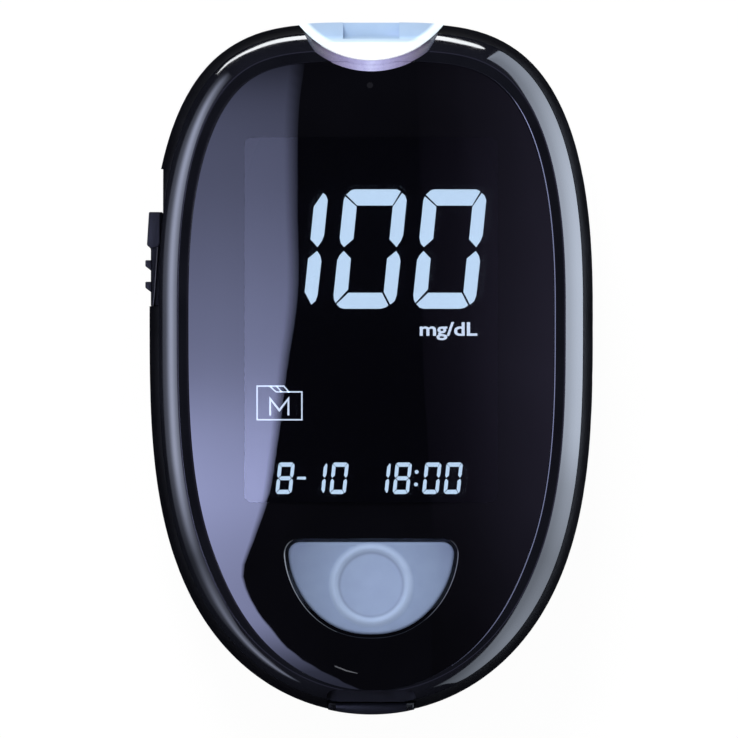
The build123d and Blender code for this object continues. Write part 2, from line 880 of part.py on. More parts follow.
def ejector_knob():
    low, high = knob_low_y, knob_high_y
    block_y = high - knob_block_length
    half_rib = knob_rib_width / 2
    outline = [
        (knob_inner_x, high),
        (knob_block_x + knob_corner, high),
        (knob_block_x, high - knob_corner),
        (knob_block_x, block_y),
        (knob_plate_x, block_y - (knob_plate_x - knob_block_x) * 2),
        (knob_plate_x, low + knob_corner),
        (knob_plate_x + knob_corner, low),
        (knob_inner_x - knob_taper, low),
    ]
    rise = knob_high_z - knob_low_z
    knob = extrude(Pos(0, 0, knob_low_z) * make_face(Polyline(*outline, close=True)), rise)
    for y in knob_rib_y:
        knob += box((knob_rib_x, y - half_rib, knob_low_z),
                    (knob_plate_x + knob_corner, y + half_rib, knob_high_z))
    neck = box((knob_inner_x - knob_taper, neck_low_y, ejector_z - neck_half_height),
               (knob_inner_x + neck_depth, neck_low_y + neck_length, ejector_z + neck_half_height))
    return knob + neck


def ejector_carriage():
    z_low, z_high = ejector_z - sled_half_height, ejector_z + sled_half_height
    sled = box((sled_low_x, sled_low_y, z_low), (sled_high_x, sled_high_y, z_high))
    arm_low, arm_high = ejector_z - arm_half_height, ejector_z + arm_half_height
    sled += box((sled_high_x - arm_width, sled_high_y - over, arm_low),
                (sled_high_x, cross_y + cross_width, arm_high))
    sled += box((sled_high_x - arm_width, cross_y, arm_low),
                (pusher_half_width, cross_y + cross_width, arm_high))
    sled += box((-pusher_half_width, cross_y, arm_low),
                (pusher_half_width, pusher_y + pusher_thickness, arm_high))
    sled += box((-pusher_half_width, pusher_y, arm_low),
                (pusher_half_width, pusher_y + pusher_thickness,
                 strip_channel_z + strip_slot_height - fit_gap))
    return sled - box((sled_low_x - over, neck_low_y, ejector_z - neck_half_height),
                      (knob_inner_x + neck_depth, neck_low_y + neck_length,
                       ejector_z + neck_half_height))


def ejector_spring():
    return coil_y(spring_x, sled_high_y, spring_fixed_y, ejector_z, return_spring_radius,
                  return_spring_wire, return_spring_turns)


def data_port_cover():
    half = flap_half_width
    plate = egg_prism(0, flap_axis_z, flap_top_z)
    plate &= box((-half, egg_bottom_y - over, flap_axis_z), (half, flap_face_y, flap_top_z))
    plate = fillet(plate.faces().sort_by(Axis.Z)[-1].edges(), flap_lip_round)
    barrel = bar_x(-half, half, flap_axis_y, flap_axis_z, flap_barrel_radius)
    reach = half + flap_pin_length
    pins = bar_x(-reach, reach, flap_axis_y, flap_axis_z, flap_pin_radius)
    return plate + barrel + pins


def usb_socket():
    low, high = (-socket_half_width, board_top_z), (socket_half_width, socket_top_z())
    shell = box((low[0], socket_low_y, low[1]), (high[0], socket_high_y, high[1]))
    return shell - box((low[0] + socket_shell, socket_low_y - over, low[1] + socket_shell),
                       (high[0] - socket_shell, socket_high_y - socket_shell,
                        high[1] - socket_shell))


def usb_tongue():
    middle = board_top_z + socket_height / 2
    return box((-tongue_half_width, socket_low_y + tongue_setback, middle - tongue_thickness / 2),
               (tongue_half_width, socket_high_y - socket_shell, middle + tongue_thickness / 2))


def battery_cell(side):
    """One AAA cell: the left one points at the strip port, the right one away from it."""
    x = side * cell_x
    body = cell_length - cell_nipple_length
    tip_y = bay_high_y - contact_thickness if side < 0 else bay_low_y + contact_thickness
    away = 1 if side > 0 else -1
    shoulder = tip_y + away * cell_nipple_length
    foot = shoulder + away * body
    can = bar_y(x, min(shoulder, foot), max(shoulder, foot), cell_z, cell_radius)
    can = fillet(can.edges().filter_by(GeomType.CIRCLE), cell_gap)
    return can + bar_y(x, min(tip_y, foot), max(tip_y, foot), cell_z, cell_nipple_radius)


def battery_springs():
    left = coil_y(-cell_x, bay_low_y + contact_thickness, bay_low_y + contact_thickness
                  + contact_spring_length, cell_z, contact_spring_radius, contact_spring_wire,
                  contact_spring_turns)
    high = bay_high_y - contact_thickness
    right = coil_y(cell_x, high - contact_spring_length, high, cell_z, contact_spring_radius,
                   contact_spring_wire, contact_spring_turns)
    return [left, right]


def battery_contacts():
    """A bridge plate at the bottom end and two plates with tails at the top end."""
    half = contact_size / 2
    plates = [
        box((-cell_x - half, bay_low_y, cell_z - half),
            (cell_x + half, bay_low_y + contact_thickness, cell_z + half))
    ]
    for side in both_sides:
        plate = box((side * cell_x - half, bay_high_y - contact_thickness, cell_z - half),
                    (side * cell_x + half, bay_high_y, cell_z + half))
        tail = contact_tail_width / 2
        plate += box((side * cell_x - tail, bay_high_y - contact_thickness, cell_z),
                     (side * cell_x + tail, bay_high_y, board_z))
        plates.append(plate)
    return plates


def door_hook(x):
    """An L that reaches under the edge of the back wall, beyond the door's rounded end."""
    half = door_hook_width / 2
    low_z = wall + slide_gap
    riser = box((x - half, door_axis_y - door_hook_thickness, door_axis_z),
                (x + half, door_axis_y, low_z + door_hook_thickness))
    tongue = box((x - half, door_axis_y - door_hook_thickness, low_z),
                 (x + half, door_high_y + door_hook_reach, low_z + door_hook_thickness))
    return riser + tongue


def battery_door():
    half = door_half_width
    panel = box((-half, door_low_y, 0), (half, door_axis_y, door_thickness))
    corners = panel.edges().filter_by(Axis.Z).group_by(Axis.Y)[0]
    panel = fillet(corners, door_corner)
    panel += bar_x(-half, half, door_axis_y, door_axis_z, door_thickness / 2)
    for x in door_hook_spots():
        panel += door_hook(x)
    panel += box((-door_latch_width / 2, bay_low_y + slide_gap, fit_gap),
                 (door_latch_width / 2, bay_low_y + slide_gap + door_latch_thickness,
                  door_thickness + door_latch_height))
    for i in range(door_grip_count):
        y = door_low_y + door_grip_pitch * (i + 1.5)
        panel -= bar_x(-door_grip_length / 2, door_grip_length / 2, y, 0, door_grip_radius)
    return panel


def screw(x, y, seat_z, length, radius, head_radius, head_height):
    """A screw driven upwards: its head hangs below the seat."""
    head = post(x, y, seat_z - head_height, seat_z, head_radius)
    low = seat_z - head_height
    slot = driver_slot / 2
    reach = head_radius / 1.5
    head -= box((x - reach, y - slot, low - over), (x + reach, y + slot, low + head_height / 2))
    head -= box((x - slot, y - reach, low - over), (x + slot, y + reach, low + head_height / 2))
    return head + post(x, y, seat_z - head_height / 4, seat_z + length, radius)


def case_screws():
    return [
        screw(x, y, case_screw_seat_z, case_screw_length, case_screw_radius, case_head_radius,
              case_head_height)
        for x, y in case_screw_spots()
    ]


def board_screws():
    return [
        screw(x, y, board_z, board_screw_length + board_thickness, board_screw_radius,
              board_head_radius, board_head_height)
        for x, y in board_screw_places()
    ]


def set_flange_z():
    return wall + fit_gap


def set_button():
    x, y = set_place
    stem_top = board_z - set_switch_height - set_travel - set_stem_gap
    cap = post(x, y, set_cap_recess, set_flange_z() + set_flange_thickness, set_cap_radius)
    flange = post(x, y, set_flange_z(), set_flange_z() + set_flange_thickness,
                  set_cap_radius + set_flange)
    return cap + flange + post(x, y, set_flange_z(), stem_top, set_stem_radius)


def set_switch():
    x, y = set_place
    half = set_switch_size / 2
    return box((x - half, y - half, board_z - set_switch_height), (x + half, y + half, board_z))


def nodes():
    return {
        "back_cover": back_cover(),
        "front_cover": front_cover(),
        "display_lens": display_lens(),
        "lens_mask": lens_mask(),
        "lcd_glass": lcd_glass(),
        "lcd_backlight": lcd_backlight(),
        "lcd_frame": lcd_frame(),
        "lcd_connector": lcd_connector(),
        "main_board": main_board(),
        "processor_chip": chip(processor_size, processor_place, processor_leads),
        "measuring_chip": chip(measuring_size, measuring_place, measuring_leads),
        "board_components": board_components(),
        "clock_crystal": clock_crystal(),
        "buzzer": buzzer(),
        "main_switch": main_switch(),
        "switch_plunger": switch_plunger(),
        "main_button": main_button(),
        "strip_connector": strip_connector(),
        "strip_contacts": strip_contacts(),
        "port_light_guide": port_light_guide(),
        "port_leds": port_leds(),
        "ejector_knob": ejector_knob(),
        "ejector_carriage": ejector_carriage(),
        "ejector_spring": ejector_spring(),
        "data_port_cover": data_port_cover(),
        "usb_socket": usb_socket(),
        "usb_tongue": usb_tongue(),
        "battery_cell_1": battery_cell(-1),
        "battery_cell_2": battery_cell(1),
        "battery_springs": battery_springs(),
        "battery_contacts": battery_contacts(),
        "battery_door": battery_door(),
        "case_screws": case_screws(),
        "board_screws": board_screws(),
        "set_button": set_button(),
        "set_switch": set_switch(),
    }


os.makedirs("parts", exist_ok=True)
for name, shape in nodes().items():
    solids = shape if isinstance(shape, list) else [shape]
    export_step(Compound(children=[s for part in solids for s in part.solids()]),
                f"parts/{name}.step")
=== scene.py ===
"""Looks of a handheld blood glucose meter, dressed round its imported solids.

Sizes are in millimetres until a mesh is built. Meshes are in metres, in the frame of the solids:
X runs across the face, Y towards the strip port and Z out of the face.
"""

from __future__ import annotations

import logging
from collections.abc import Callable, Iterator, Sequence
from contextlib import contextmanager
from dataclasses import dataclass, field
from enum import Enum
from math import atan2, copysign, cos, degrees, hypot, pi, radians, remainder, sin, sqrt, tan

import bmesh
import bpy
import numpy as np
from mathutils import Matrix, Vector
from mathutils.geometry import delaunay_2d_cdt


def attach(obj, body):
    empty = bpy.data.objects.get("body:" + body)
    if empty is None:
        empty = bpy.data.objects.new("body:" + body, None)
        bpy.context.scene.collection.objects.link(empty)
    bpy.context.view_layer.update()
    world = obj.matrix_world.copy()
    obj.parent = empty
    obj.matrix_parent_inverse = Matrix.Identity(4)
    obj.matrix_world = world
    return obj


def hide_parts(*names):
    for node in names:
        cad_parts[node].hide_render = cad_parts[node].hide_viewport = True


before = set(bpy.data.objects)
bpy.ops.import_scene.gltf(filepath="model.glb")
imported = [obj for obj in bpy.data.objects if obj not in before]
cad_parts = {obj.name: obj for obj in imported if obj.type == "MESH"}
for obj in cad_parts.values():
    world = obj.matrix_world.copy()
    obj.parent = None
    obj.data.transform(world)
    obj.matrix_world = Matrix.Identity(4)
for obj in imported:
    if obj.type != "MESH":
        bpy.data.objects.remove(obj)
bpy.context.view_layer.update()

LOG = logging.getLogger("glucose_meter")
MM = 0.001
CASE = "case"

Point2 = tuple[float, float]
Point3 = tuple[float, float, float]
Colour = tuple[float, float, float]
Outline = Sequence[Point2]
Path = tuple[Point2, ...]
Stops = Sequence[tuple[float, Colour]]
Height = Callable[[float, float], float]
Piece = bpy.types.Object
Material = bpy.types.Material
Socket = bpy.types.NodeSocket
WHITE: Colour = (1.0, 1.0, 1.0)


# ------------ shapes


@dataclass(frozen=True)
class EggOutline:
    """Outline of the case: two superellipse halves that meet at the widest line."""

    half_width: float = 30.87
    widest_y: float = 7.63
    top_y: float = 48.0
    bottom_y: float = -48.145
    top_powers: Point2 = (3.69, 2.47)
    bottom_powers: Point2 = (2.0, 3.14)
    narrow_reach: float = 38.0
    band_insets: tuple[float, ...] = (0.0, 1.4, 4.1, 5.5, 12.0)
    narrow_insets: tuple[float, ...] = (0.0, 1.4, 3.2, 3.4, 12.0)

    def closeness(self, angle: float) -> float:
        """1 at the bottom end, where the bands narrow, easing to 0 towards the sides."""
        aside = abs(degrees(remainder(angle - 1.5 * pi, 2 * pi)))
        share = 1 - min(1.0, aside / self.narrow_reach)
        return share * share * (3 - 2 * share)

    def _half(self, y: float) -> tuple[float, Point2]:
        """Reach and powers of the half that holds the height y."""
        if y >= self.widest_y:
            return self.top_y - self.widest_y, self.top_powers
        return self.widest_y - self.bottom_y, self.bottom_powers

    def excess(self, x: float, y: float) -> float:
        """Below 0 inside the outline and above 0 outside it."""
        reach, (across, along) = self._half(y)
        return (abs(x) / self.half_width) ** across + (abs(y - self.widest_y) / reach) ** along - 1

    def slope(self, x: float, y: float) -> Point2:
        """Gradient of the excess, which points out of the outline.

        Args:
            x: place across the face.
            y: place along the face.

        Returns:
            The gradient across and along.
        """
        reach, (across, along) = self._half(y)
        rise = y - self.widest_y
        gx = across * (abs(x) / self.half_width) ** (across - 1) / self.half_width
        gy = along * (abs(rise) / reach) ** (along - 1) / reach
        return copysign(gx, x), copysign(gy, rise)

    def point(self, angle: float, inset: float = 0.0) -> Point2:
        """Point seen at an angle from the centre, moved in along the outline's own normal.

        Args:
            angle: turn from +X in radians, about the middle of the widest line.
            inset: distance to move in, less at the bottom end, where the bands are narrower.

        Returns:
            The moved point.
        """
        near_end = self.closeness(angle)
        if near_end > 0:
            insets = [wide + (narrow - wide) * near_end
                      for wide, narrow in zip(self.band_insets, self.narrow_insets)]
            inset = float(np.interp(inset, self.band_insets, insets))
        near, far = 0.0, self.top_y - self.bottom_y
        for _ in range(40):
            middle = (near + far) / 2
            if self.excess(middle * cos(angle), self.widest_y + middle * sin(angle)) > 0:
                far = middle
            else:
                near = middle
        x, y = near * cos(angle), self.widest_y + near * sin(angle)
        gx, gy = self.slope(x, y)
        length = hypot(gx, gy)
        return x - inset * gx / length, y - inset * gy / length


@dataclass(frozen=True)
class DomeTop:
    """Doubly curved top of the window."""

    crown_z: float = 25.8
    drop: float = 1.7
    half_across: float = 25.37
    half_along: float = 42.5

    @property
    def radius_across(self) -> float:
        """Radius of the dome's section across the face."""
        return (self.half_across**2 + self.drop**2) / (2 * self.drop)

    @property
    def radius_along(self) -> float:
        """Radius of the dome's section along the face."""
        return (self.half_along**2 + self.drop**2) / (2 * self.drop)

    def height(self, x: float, y: float) -> float:
        """Height of the dome over a point."""
        sag = self.radius_across - sqrt(self.radius_across**2 - x * x)
        reach = self.radius_along - sag
        return self.crown_z - self.radius_along + sqrt(reach * reach - y * y)

    def normal(self, x: float, y: float) -> Vector:
        """Outward normal of the dome over a point.

        Args:
            x: place across the face.
            y: place along the face.

        Returns:
            The unit normal.
        """
        step = 0.01
        gx = (self.height(x + step, y) - self.height(x - step, y)) / (2 * step)
        gy = (self.height(x, y + step) - self.height(x, y - step)) / (2 * step)
        return Vector((-gx, -gy, 1)).normalized()


@dataclass(frozen=True)
class PortScoop:
    """Leaning round bite at the top end that holds the light guide."""

    radius: float = 12.84
    foot_y: float = 55.5
    foot_z: float = 21.2
    lean: float = 1.58
    lean_rise: float = 3.0

    def centre_y(self, z: float) -> float:
        """Y of the circle's centre at a height."""
        return self.foot_y - max(0.0, z - self.foot_z) * self.lean / self.lean_rise

    def holds(self, x: float, y: float, z: float) -> bool:
        """Whether a point lies inside the bite."""
        return hypot(x, y - self.centre_y(z)) < self.radius

    def corner(self, egg: EggOutline, inset: float, z: float) -> float:
        """Angle at which the right half of an inset outline meets the bite.

        Args:
            egg: the case outline.
            inset: how far in the outline runs.
            z: height of that outline.

        Returns:
            The angle about the egg's centre, between 0 and a quarter turn.
        """
        low, high = 0.0, pi / 2
        for _ in range(40):
            middle = (low + high) / 2
            if self.holds(*egg.point(middle, inset), z):
                high = middle
            else:
                low = middle
        return (low + high) / 2


@dataclass(frozen=True)
class HalfMoon:
    """Outline of the main button: a chord with round corners over a superellipse."""

    half_width: float = 11.5
    reach: float = 11.2
    powers: Point2 = (2.25, 1.7)
    arc_y: float = -25.75
    corner: float = 1.65
    belly_steps: int = 96
    corner_steps: int = 10
    chord_steps: int = 24

    def loop(self, more: float) -> list[Point2]:
        """Closed outline, anticlockwise from above, grown outwards by a margin.

        Args:
            more: the margin.

        Returns:
            The outline's points.
        """
        across, along = self.powers
        points: list[Point2] = []
        for i in range(self.belly_steps + 1):
            turn = pi * (1 - i / self.belly_steps)
            side = -1 if i < self.belly_steps / 2 else 1
            x = self.half_width * abs(cos(turn)) ** (2 / across)
            drop = self.reach * sin(turn) ** (2 / along)
            gx = across * (x / self.half_width) ** (across - 1) / self.half_width
            gy = along * (drop / self.reach) ** (along - 1) / self.reach
            length = hypot(gx, gy)
            points.append((side * (x + more * gx / length), self.arc_y - drop - more * gy / length))
        radius = self.corner + more
        for side, start in ((1, 0.0), (-1, pi / 2)):
            centre_x = side * (self.half_width - self.corner)
            turns = [start + i * pi / 2 / self.corner_steps for i in range(1, self.corner_steps)]
            points += arc_points(centre_x, self.arc_y, radius, turns)
            if side > 0:
                chord = self.arc_y + radius
                points += [(centre_x * (1 - 2 * i / self.chord_steps), chord)
                           for i in range(self.chord_steps + 1)]
        return points


def arc_points(x: float, y: float, radius: float, turns: Sequence[float]) -> list[Point2]:
    """Points of a circle round a centre, at turns in radians."""
    return [(x + radius * cos(turn), y + radius * sin(turn)) for turn in turns]


def round_corner(x: float, y: float, radius: float, first: float) -> list[Point2]:
    """Quarter of a circle round a centre, from a turn in degrees."""
    return arc_points(x, y, radius, [radians(first + 15 * i) for i in range(7)])


def round_rectangle(half: float, low: float, high: float, radius: float) -> list[Point2]:
    """Rectangle with round corners, anticlockwise from its upper right one.

    Args:
        half: half of its width, which lies evenly about X = 0.
        low: Y of its foot.
        high: Y of its head.
        radius: radius of its corners.

    Returns:
        The outline's points.
    """
    outline: list[Point2] = []
    for side, y, first in ((1, high - radius, 0.0), (-1, high - radius, 90.0),
                           (-1, low + radius, 180.0), (1, low + radius, 270.0)):
        outline += round_corner(side * (half - radius), y, radius, first)
    return outline


def slope_path(start: Point2, legs: Sequence[tuple[float, float, float, int]]) -> list[Point2]:
    """Section drawn by walking with a heading that turns evenly along each leg.

    Args:
        start: inset and height of the first point.
        legs: for each leg, heading at its start and end in degrees (90 is up, 0 is inwards),
            its length and its number of steps.

    Returns:
        The section's points, as inset and height.
    """
    inset, z = start
    path = [start]
    for first, last, length, steps in legs:
        for i in range(steps):
            heading = radians(first + (last - first) * (i + 0.5) / steps)
            inset += cos(heading) * length / steps
            z += sin(heading) * length / steps
            path.append((inset, z))
    return path


def eased_rows(rows: Sequence[tuple[float, ...]], count: int) -> np.ndarray:
    """Rows of numbers with smooth ones laid between them, along the first column.

    Args:
        rows: the rows, whose first column rises or falls all the way.
        count: how many rows to return.

    Returns:
        The denser rows.
    """
    table = np.array(sorted(rows))
    slopes = np.gradient(table, table[:, 0], axis=0)
    places = np.linspace(table[0, 0], table[-1, 0], count)
    at = np.clip(np.searchsorted(table[:, 0], places, "right") - 1, 0, len(table) - 2)
    span = (table[at + 1, 0] - table[at, 0])[:, None]
    u = (places - table[at, 0])[:, None] / span
    return (table[at] * (1 + 2 * u) * (1 - u) ** 2 + table[at + 1] * u * u * (3 - 2 * u)
            + slopes[at] * span * u * (1 - u) ** 2 - slopes[at + 1] * span * u * u * (1 - u))


def inside_loop(points: np.ndarray, loop: Outline) -> np.ndarray:
    """Which of the points lie inside a closed loop.

    Args:
        points: rows of X and Y.
        loop: the loop's points.

    Returns:
        One truth for each point.
    """
    inside = np.zeros(len(points), bool)
    x, y = points[:, 0], points[:, 1]
    for (ax, ay), (bx, by) in zip(loop, [*loop[1:], loop[0]]):
        if ay == by:
            continue
        crosses = (ay > y) != (by > y)
        inside ^= crosses & (x < (bx - ax) * (y - ay) / (by - ay) + ax)
    return inside


def loop_normals(loop: Outline) -> list[Point2]:
    """Unit normals to the right of travel, which is outwards on an anticlockwise loop.

    Args:
        loop: the loop's points.

    Returns:
        The normal at each point.
    """
    count = len(loop)
    normals = []
    for i in range(count):
        ax, ay = loop[i - 1]
        bx, by = loop[(i + 1) % count]
        dx, dy = bx - ax, by - ay
        length = hypot(dx, dy) or 1.0
        normals.append((dy / length, -dx / length))
    return normals


def drawn_in(loop: Outline, normals: Outline, by: float) -> list[Point2]:
    """A loop moved against its normals."""
    return [(x - nx * by, y - ny * by) for (x, y), (nx, ny) in zip(loop, normals)]


@contextmanager
def edited(mesh: bpy.types.Mesh) -> Iterator[bmesh.types.BMesh]:
    """Opens a mesh for edits and writes them back.

    Args:
        mesh: the mesh.

    Yields:
        The mesh's editable form.
    """
    shell = bmesh.new()
    shell.from_mesh(mesh)
    yield shell
    shell.to_mesh(mesh)
    shell.free()


def linked(name: str, data: bpy.types.ID) -> Piece:
    """New object in the scene that shows some data."""
    obj = bpy.data.objects.new(name, data)
    bpy.context.scene.collection.objects.link(obj)
    return obj


class MeshDraft:
    """Points and faces of one piece, in millimetres, before it becomes an object."""

    def __init__(self) -> None:
        """Starts with nothing."""
        self.points: list[Point3] = []
        self.faces: list[tuple[int, ...]] = []
        self.finish_of: list[int] = []
        self.normals: dict[int, Vector] = {}
        self.crease_normals: dict[tuple[int, int], Vector] = {}

    def add(self, points: Sequence[Point3]) -> list[int]:
        """Adds points and returns their numbers."""
        first = len(self.points)
        self.points.extend(points)
        return list(range(first, len(self.points)))

    def level(self, outline: Outline, z: float) -> list[int]:
        """Adds an outline at a height and returns the numbers of its points."""
        return self.add([(x, y, z) for x, y in outline])

    def face(self, corners: Sequence[int], finish: int = 0) -> None:
        """Adds one face."""
        self.faces.append(tuple(corners))
        self.finish_of.append(finish)

    def bridge(self, low: Sequence[int], high: Sequence[int], closed: bool = True, finish: int = 0) -> None:
        """Joins two rows of as many points with quads.

        Args:
            low: numbers of the first row.
            high: numbers of the second row.
            closed: whether the rows are rings.
            finish: number of the material slot.
        """
        count = len(low)
        for i in range(count if closed else count - 1):
            j = (i + 1) % count
            self.face((low[i], low[j], high[j], high[i]), finish)

    def slab(self, outline: Outline, low_z: float, high_z: float, finish: int = 0) -> None:
        """Adds one closed slab over an outline, between two heights.

        Args:
            outline: the slab's outline.
            low_z: its lower height.
            high_z: its upper height.
            finish: number of the material slot.
        """
        low, high = self.level(outline, low_z), self.level(outline, high_z)
        self.bridge(low, high, True, finish)
        self.face(low[::-1], finish)
        self.face(high, finish)

    def round_edge(self, loop: Outline, radius: float, steps: int, height: Height) -> list[list[int]]:
        """Adds the points of an outline's round top edge.

        Args:
            loop: the outline.
            radius: radius of the edge.
            steps: number of steps from the top to the side.
            height: gives the height of the top over a point.

        Returns:
            Numbers of the points in each row, from the highest to the lowest.
        """
        outwards = loop_normals(loop)
        rows = []
        for k in range(steps + 1):
            turn = pi / 2 * k / steps
            ring = drawn_in(loop, outwards, radius * (1 - sin(turn)))
            drop = radius * (1 - cos(turn))
            rows.append(self.add([(x, y, height(x, y) - drop) for x, y in ring]))
        return rows

    def plate(self, loops: Sequence[Sequence[int]], spacing: float | None, height: Height, finish: int = 0,
              panes: Sequence[tuple[Outline, int]] = (),
              normal: Callable[[float, float], Vector] | None = None) -> None:
        """Fills the area between an outer loop and its holes with triangles.

        Args:
            loops: numbers of the outer loop's points, then of each hole's.
            spacing: distance between the points laid inside, or None for no points inside.
            height: gives the height of a point laid inside.
            finish: number of the material slot.
            panes: outlines inside the area, each with the material slot of its faces.
            normal: gives the normal of a point laid inside.
        """
        outlines = [[self.points[i][:2] for i in loop] for loop in loops]
        numbers = [i for loop in loops for i in loop]
        laid = [p for outline, _ in panes for p in outline]
        flat = [p for outline in outlines for p in outline]
        edges, first = [], 0
        for outline in [*outlines, *(outline for outline, _ in panes)]:
            count = len(outline)
            edges += [(first + i, first + (i + 1) % count) for i in range(count)]
            first += count
        if spacing is not None:
            laid += lattice(outlines, spacing, laid)
        inner = self.add([(x, y, height(x, y)) for x, y in laid])
        numbers += inner
        flat += laid
        if normal is not None:
            self.normals.update({i: normal(x, y) for i, (x, y) in zip(inner, laid)})
        points, _, triangles, origins, _, _ = delaunay_2d_cdt(
            [Vector(p) for p in flat], edges, [], 0, 1e-7, True)
        middles = np.array([[sum(points[i][k] for i in t) / 3 for k in (0, 1)] for t in triangles])
        keep = inside_loop(middles, outlines[0])
        for outline in outlines[1:]:
            keep &= ~inside_loop(middles, outline)
        finishes = np.full(len(triangles), finish)
        for outline, pane_finish in panes:
            finishes[inside_loop(middles, outline)] = pane_finish
        for triangle, kept, painted in zip(triangles, keep, finishes):
            if kept:
                self.face([numbers[origins[i][0]] for i in triangle], int(painted))

    def build(self, name: str, finishes: Sequence[Material], sharp: float = 32.0) -> Piece:
        """Makes the object, with its normals outwards and its creases above an angle sharp.

        Args:
            name: the piece's name.
            finishes: materials, in the order of the faces' finish numbers.
            sharp: crease angle in degrees.

        Returns:
            The new object.
        """
        mesh = bpy.data.meshes.new(name)
        mesh.from_pydata([[c * MM for c in p] for p in self.points], [], self.faces)
        mesh.polygons.foreach_set("material_index", self.finish_of)
        with edited(mesh) as shell:
            if not self.normals:
                bmesh.ops.remove_doubles(shell, verts=shell.verts, dist=0.0005 * MM)
                bmesh.ops.dissolve_degenerate(shell, edges=shell.edges, dist=0.0002 * MM)
            bmesh.ops.recalc_face_normals(shell, faces=shell.faces)
        obj = finish_object(name, mesh, finishes, sharp)
        if self.normals:
            none = Vector((0, 0, 0))
            mesh.normals_split_custom_set([
                self.crease_normals.get((face.index, vertex), self.normals.get(vertex, none))
                for face in mesh.polygons for vertex in face.vertices])
        return obj


def lattice(outlines: Sequence[Outline], spacing: float, others: Outline) -> list[Point2]:
    """Staggered points inside an outline and outside its holes, clear of every edge.

    Args:
        outlines: the outer outline, then the holes.
        spacing: distance between neighbours.
        others: more points to keep clear of.

    Returns:
        The points.
    """
    xs = [p[0] for p in outlines[0]]
    ys = [p[1] for p in outlines[0]]
    rows = np.arange(min(ys), max(ys), spacing * 0.87)
    points = np.array([
        (x + (spacing / 2 if i % 2 else 0.0), y)
        for i, y in enumerate(rows)
        for x in np.arange(min(xs), max(xs), spacing)
    ])
    keep = inside_loop(points, outlines[0])
    for outline in outlines[1:]:
        keep &= ~inside_loop(points, outline)
    points = points[keep]
    edge = np.array([*(p for outline in outlines for p in outline), *others])
    gap = np.array([np.min(np.hypot(edge[:, 0] - x, edge[:, 1] - y)) for x, y in points])
    return [(float(x), float(y)) for x, y in points[gap > spacing * 0.55]]


def creased(mesh: bpy.types.Mesh, above: float) -> None:
    """Shades a mesh smooth except at creases above an angle in degrees."""
    mesh.shade_smooth()
    mesh.set_sharp_from_angle(angle=radians(above))


def dress_mesh(mesh: bpy.types.Mesh, finishes: Sequence[Material], sharp: float = 32.0) -> None:
    """Gives a mesh its materials and its creases.

    Args:
        mesh: the mesh.
        finishes: its materials.
        sharp: crease angle in degrees.
    """
    slots = [min(face.material_index, len(finishes) - 1) for face in mesh.polygons]
    mesh.materials.clear()
    for finish in finishes:
        mesh.materials.append(finish)
    mesh.polygons.foreach_set("material_index", slots)
    creased(mesh, sharp)


def finish_object(name: str, mesh: bpy.types.Mesh, finishes: Sequence[Material], sharp: float) -> Piece:
    """Links a mesh in metres as an object with its materials, smooth except at its creases."""
    dress_mesh(mesh, finishes, sharp)
    return linked(name, mesh)


def baked(obj: Piece) -> Piece:
    """Replaces an object's mesh by its evaluated one and drops its modifiers.

    Args:
        obj: the object.

    Returns:
        The same object.
    """
    bpy.context.view_layer.update()
    graph = bpy.context.evaluated_depsgraph_get()
    mesh = bpy.data.meshes.new_from_object(obj.evaluated_get(graph))
    mesh.name = obj.name
    obj.modifiers.clear()
    obj.data = mesh
    return obj


def softened(obj: Piece, width: float, steps: int = 3, above: float = 30.0) -> Piece:
    """Rounds an object's edges.

    Args:
        obj: the object.
        width: width of the rounding.
        steps: segments of the rounding.
        above: smallest crease angle that is rounded, in degrees.

    Returns:
        The object, with a plain mesh.
    """
    bevel = obj.modifiers.new("edge_rounding", "BEVEL")
    bevel.width = width * MM
    bevel.segments = steps
    bevel.limit_method = "ANGLE"
    bevel.angle_limit = radians(above)
    bevel.use_clamp_overlap = True
    bevel.harden_normals = False
    creased(baked(obj).data, 50.0)
    return obj


def copied_solid(node: str, name: str, finish: Material) -> Piece:
    """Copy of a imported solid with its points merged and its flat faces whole.

    Args:
        node: the solid's node.
        name: name of the copy.
        finish: its material.

    Returns:
        The copy.
    """
    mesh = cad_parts[node].data.copy()
    mesh.name = name
    with edited(mesh) as shell:
        bmesh.ops.remove_doubles(shell, verts=shell.verts, dist=0.001 * MM)
        bmesh.ops.dissolve_limit(shell, angle_limit=radians(0.6), verts=shell.verts, edges=shell.edges)
    return finish_object(name, mesh, [finish], 30)


def place(piece: Piece, body: str, slot: str, *nodes: str) -> None:
    """Ties a finished piece to its body and hides the solids it stands for.

    Args:
        piece: the piece.
        body: its body.
        slot: its material slot; not used.
        nodes: the solids it stands for.
    """
    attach(piece, body)
    if nodes:
        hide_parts(*nodes)
    LOG.info("%s rides on %s (%d faces)", piece.name, body, len(piece.data.polygons))


# ------------ finishes


def new_node(tree: bpy.types.NodeTree, kind: str, values: dict[str, object]) -> bpy.types.Node:
    """Adds a node to a tree and sets its properties and inputs by name.

    Args:
        tree: the tree.
        kind: the node's type.
        values: what is set, by name.

    Returns:
        The node.
    """
    node = tree.nodes.new(kind)
    for key, value in values.items():
        if hasattr(node, key):
            setattr(node, key, value)
        else:
            node.inputs[key.replace("_", " ")].default_value = value
    return node


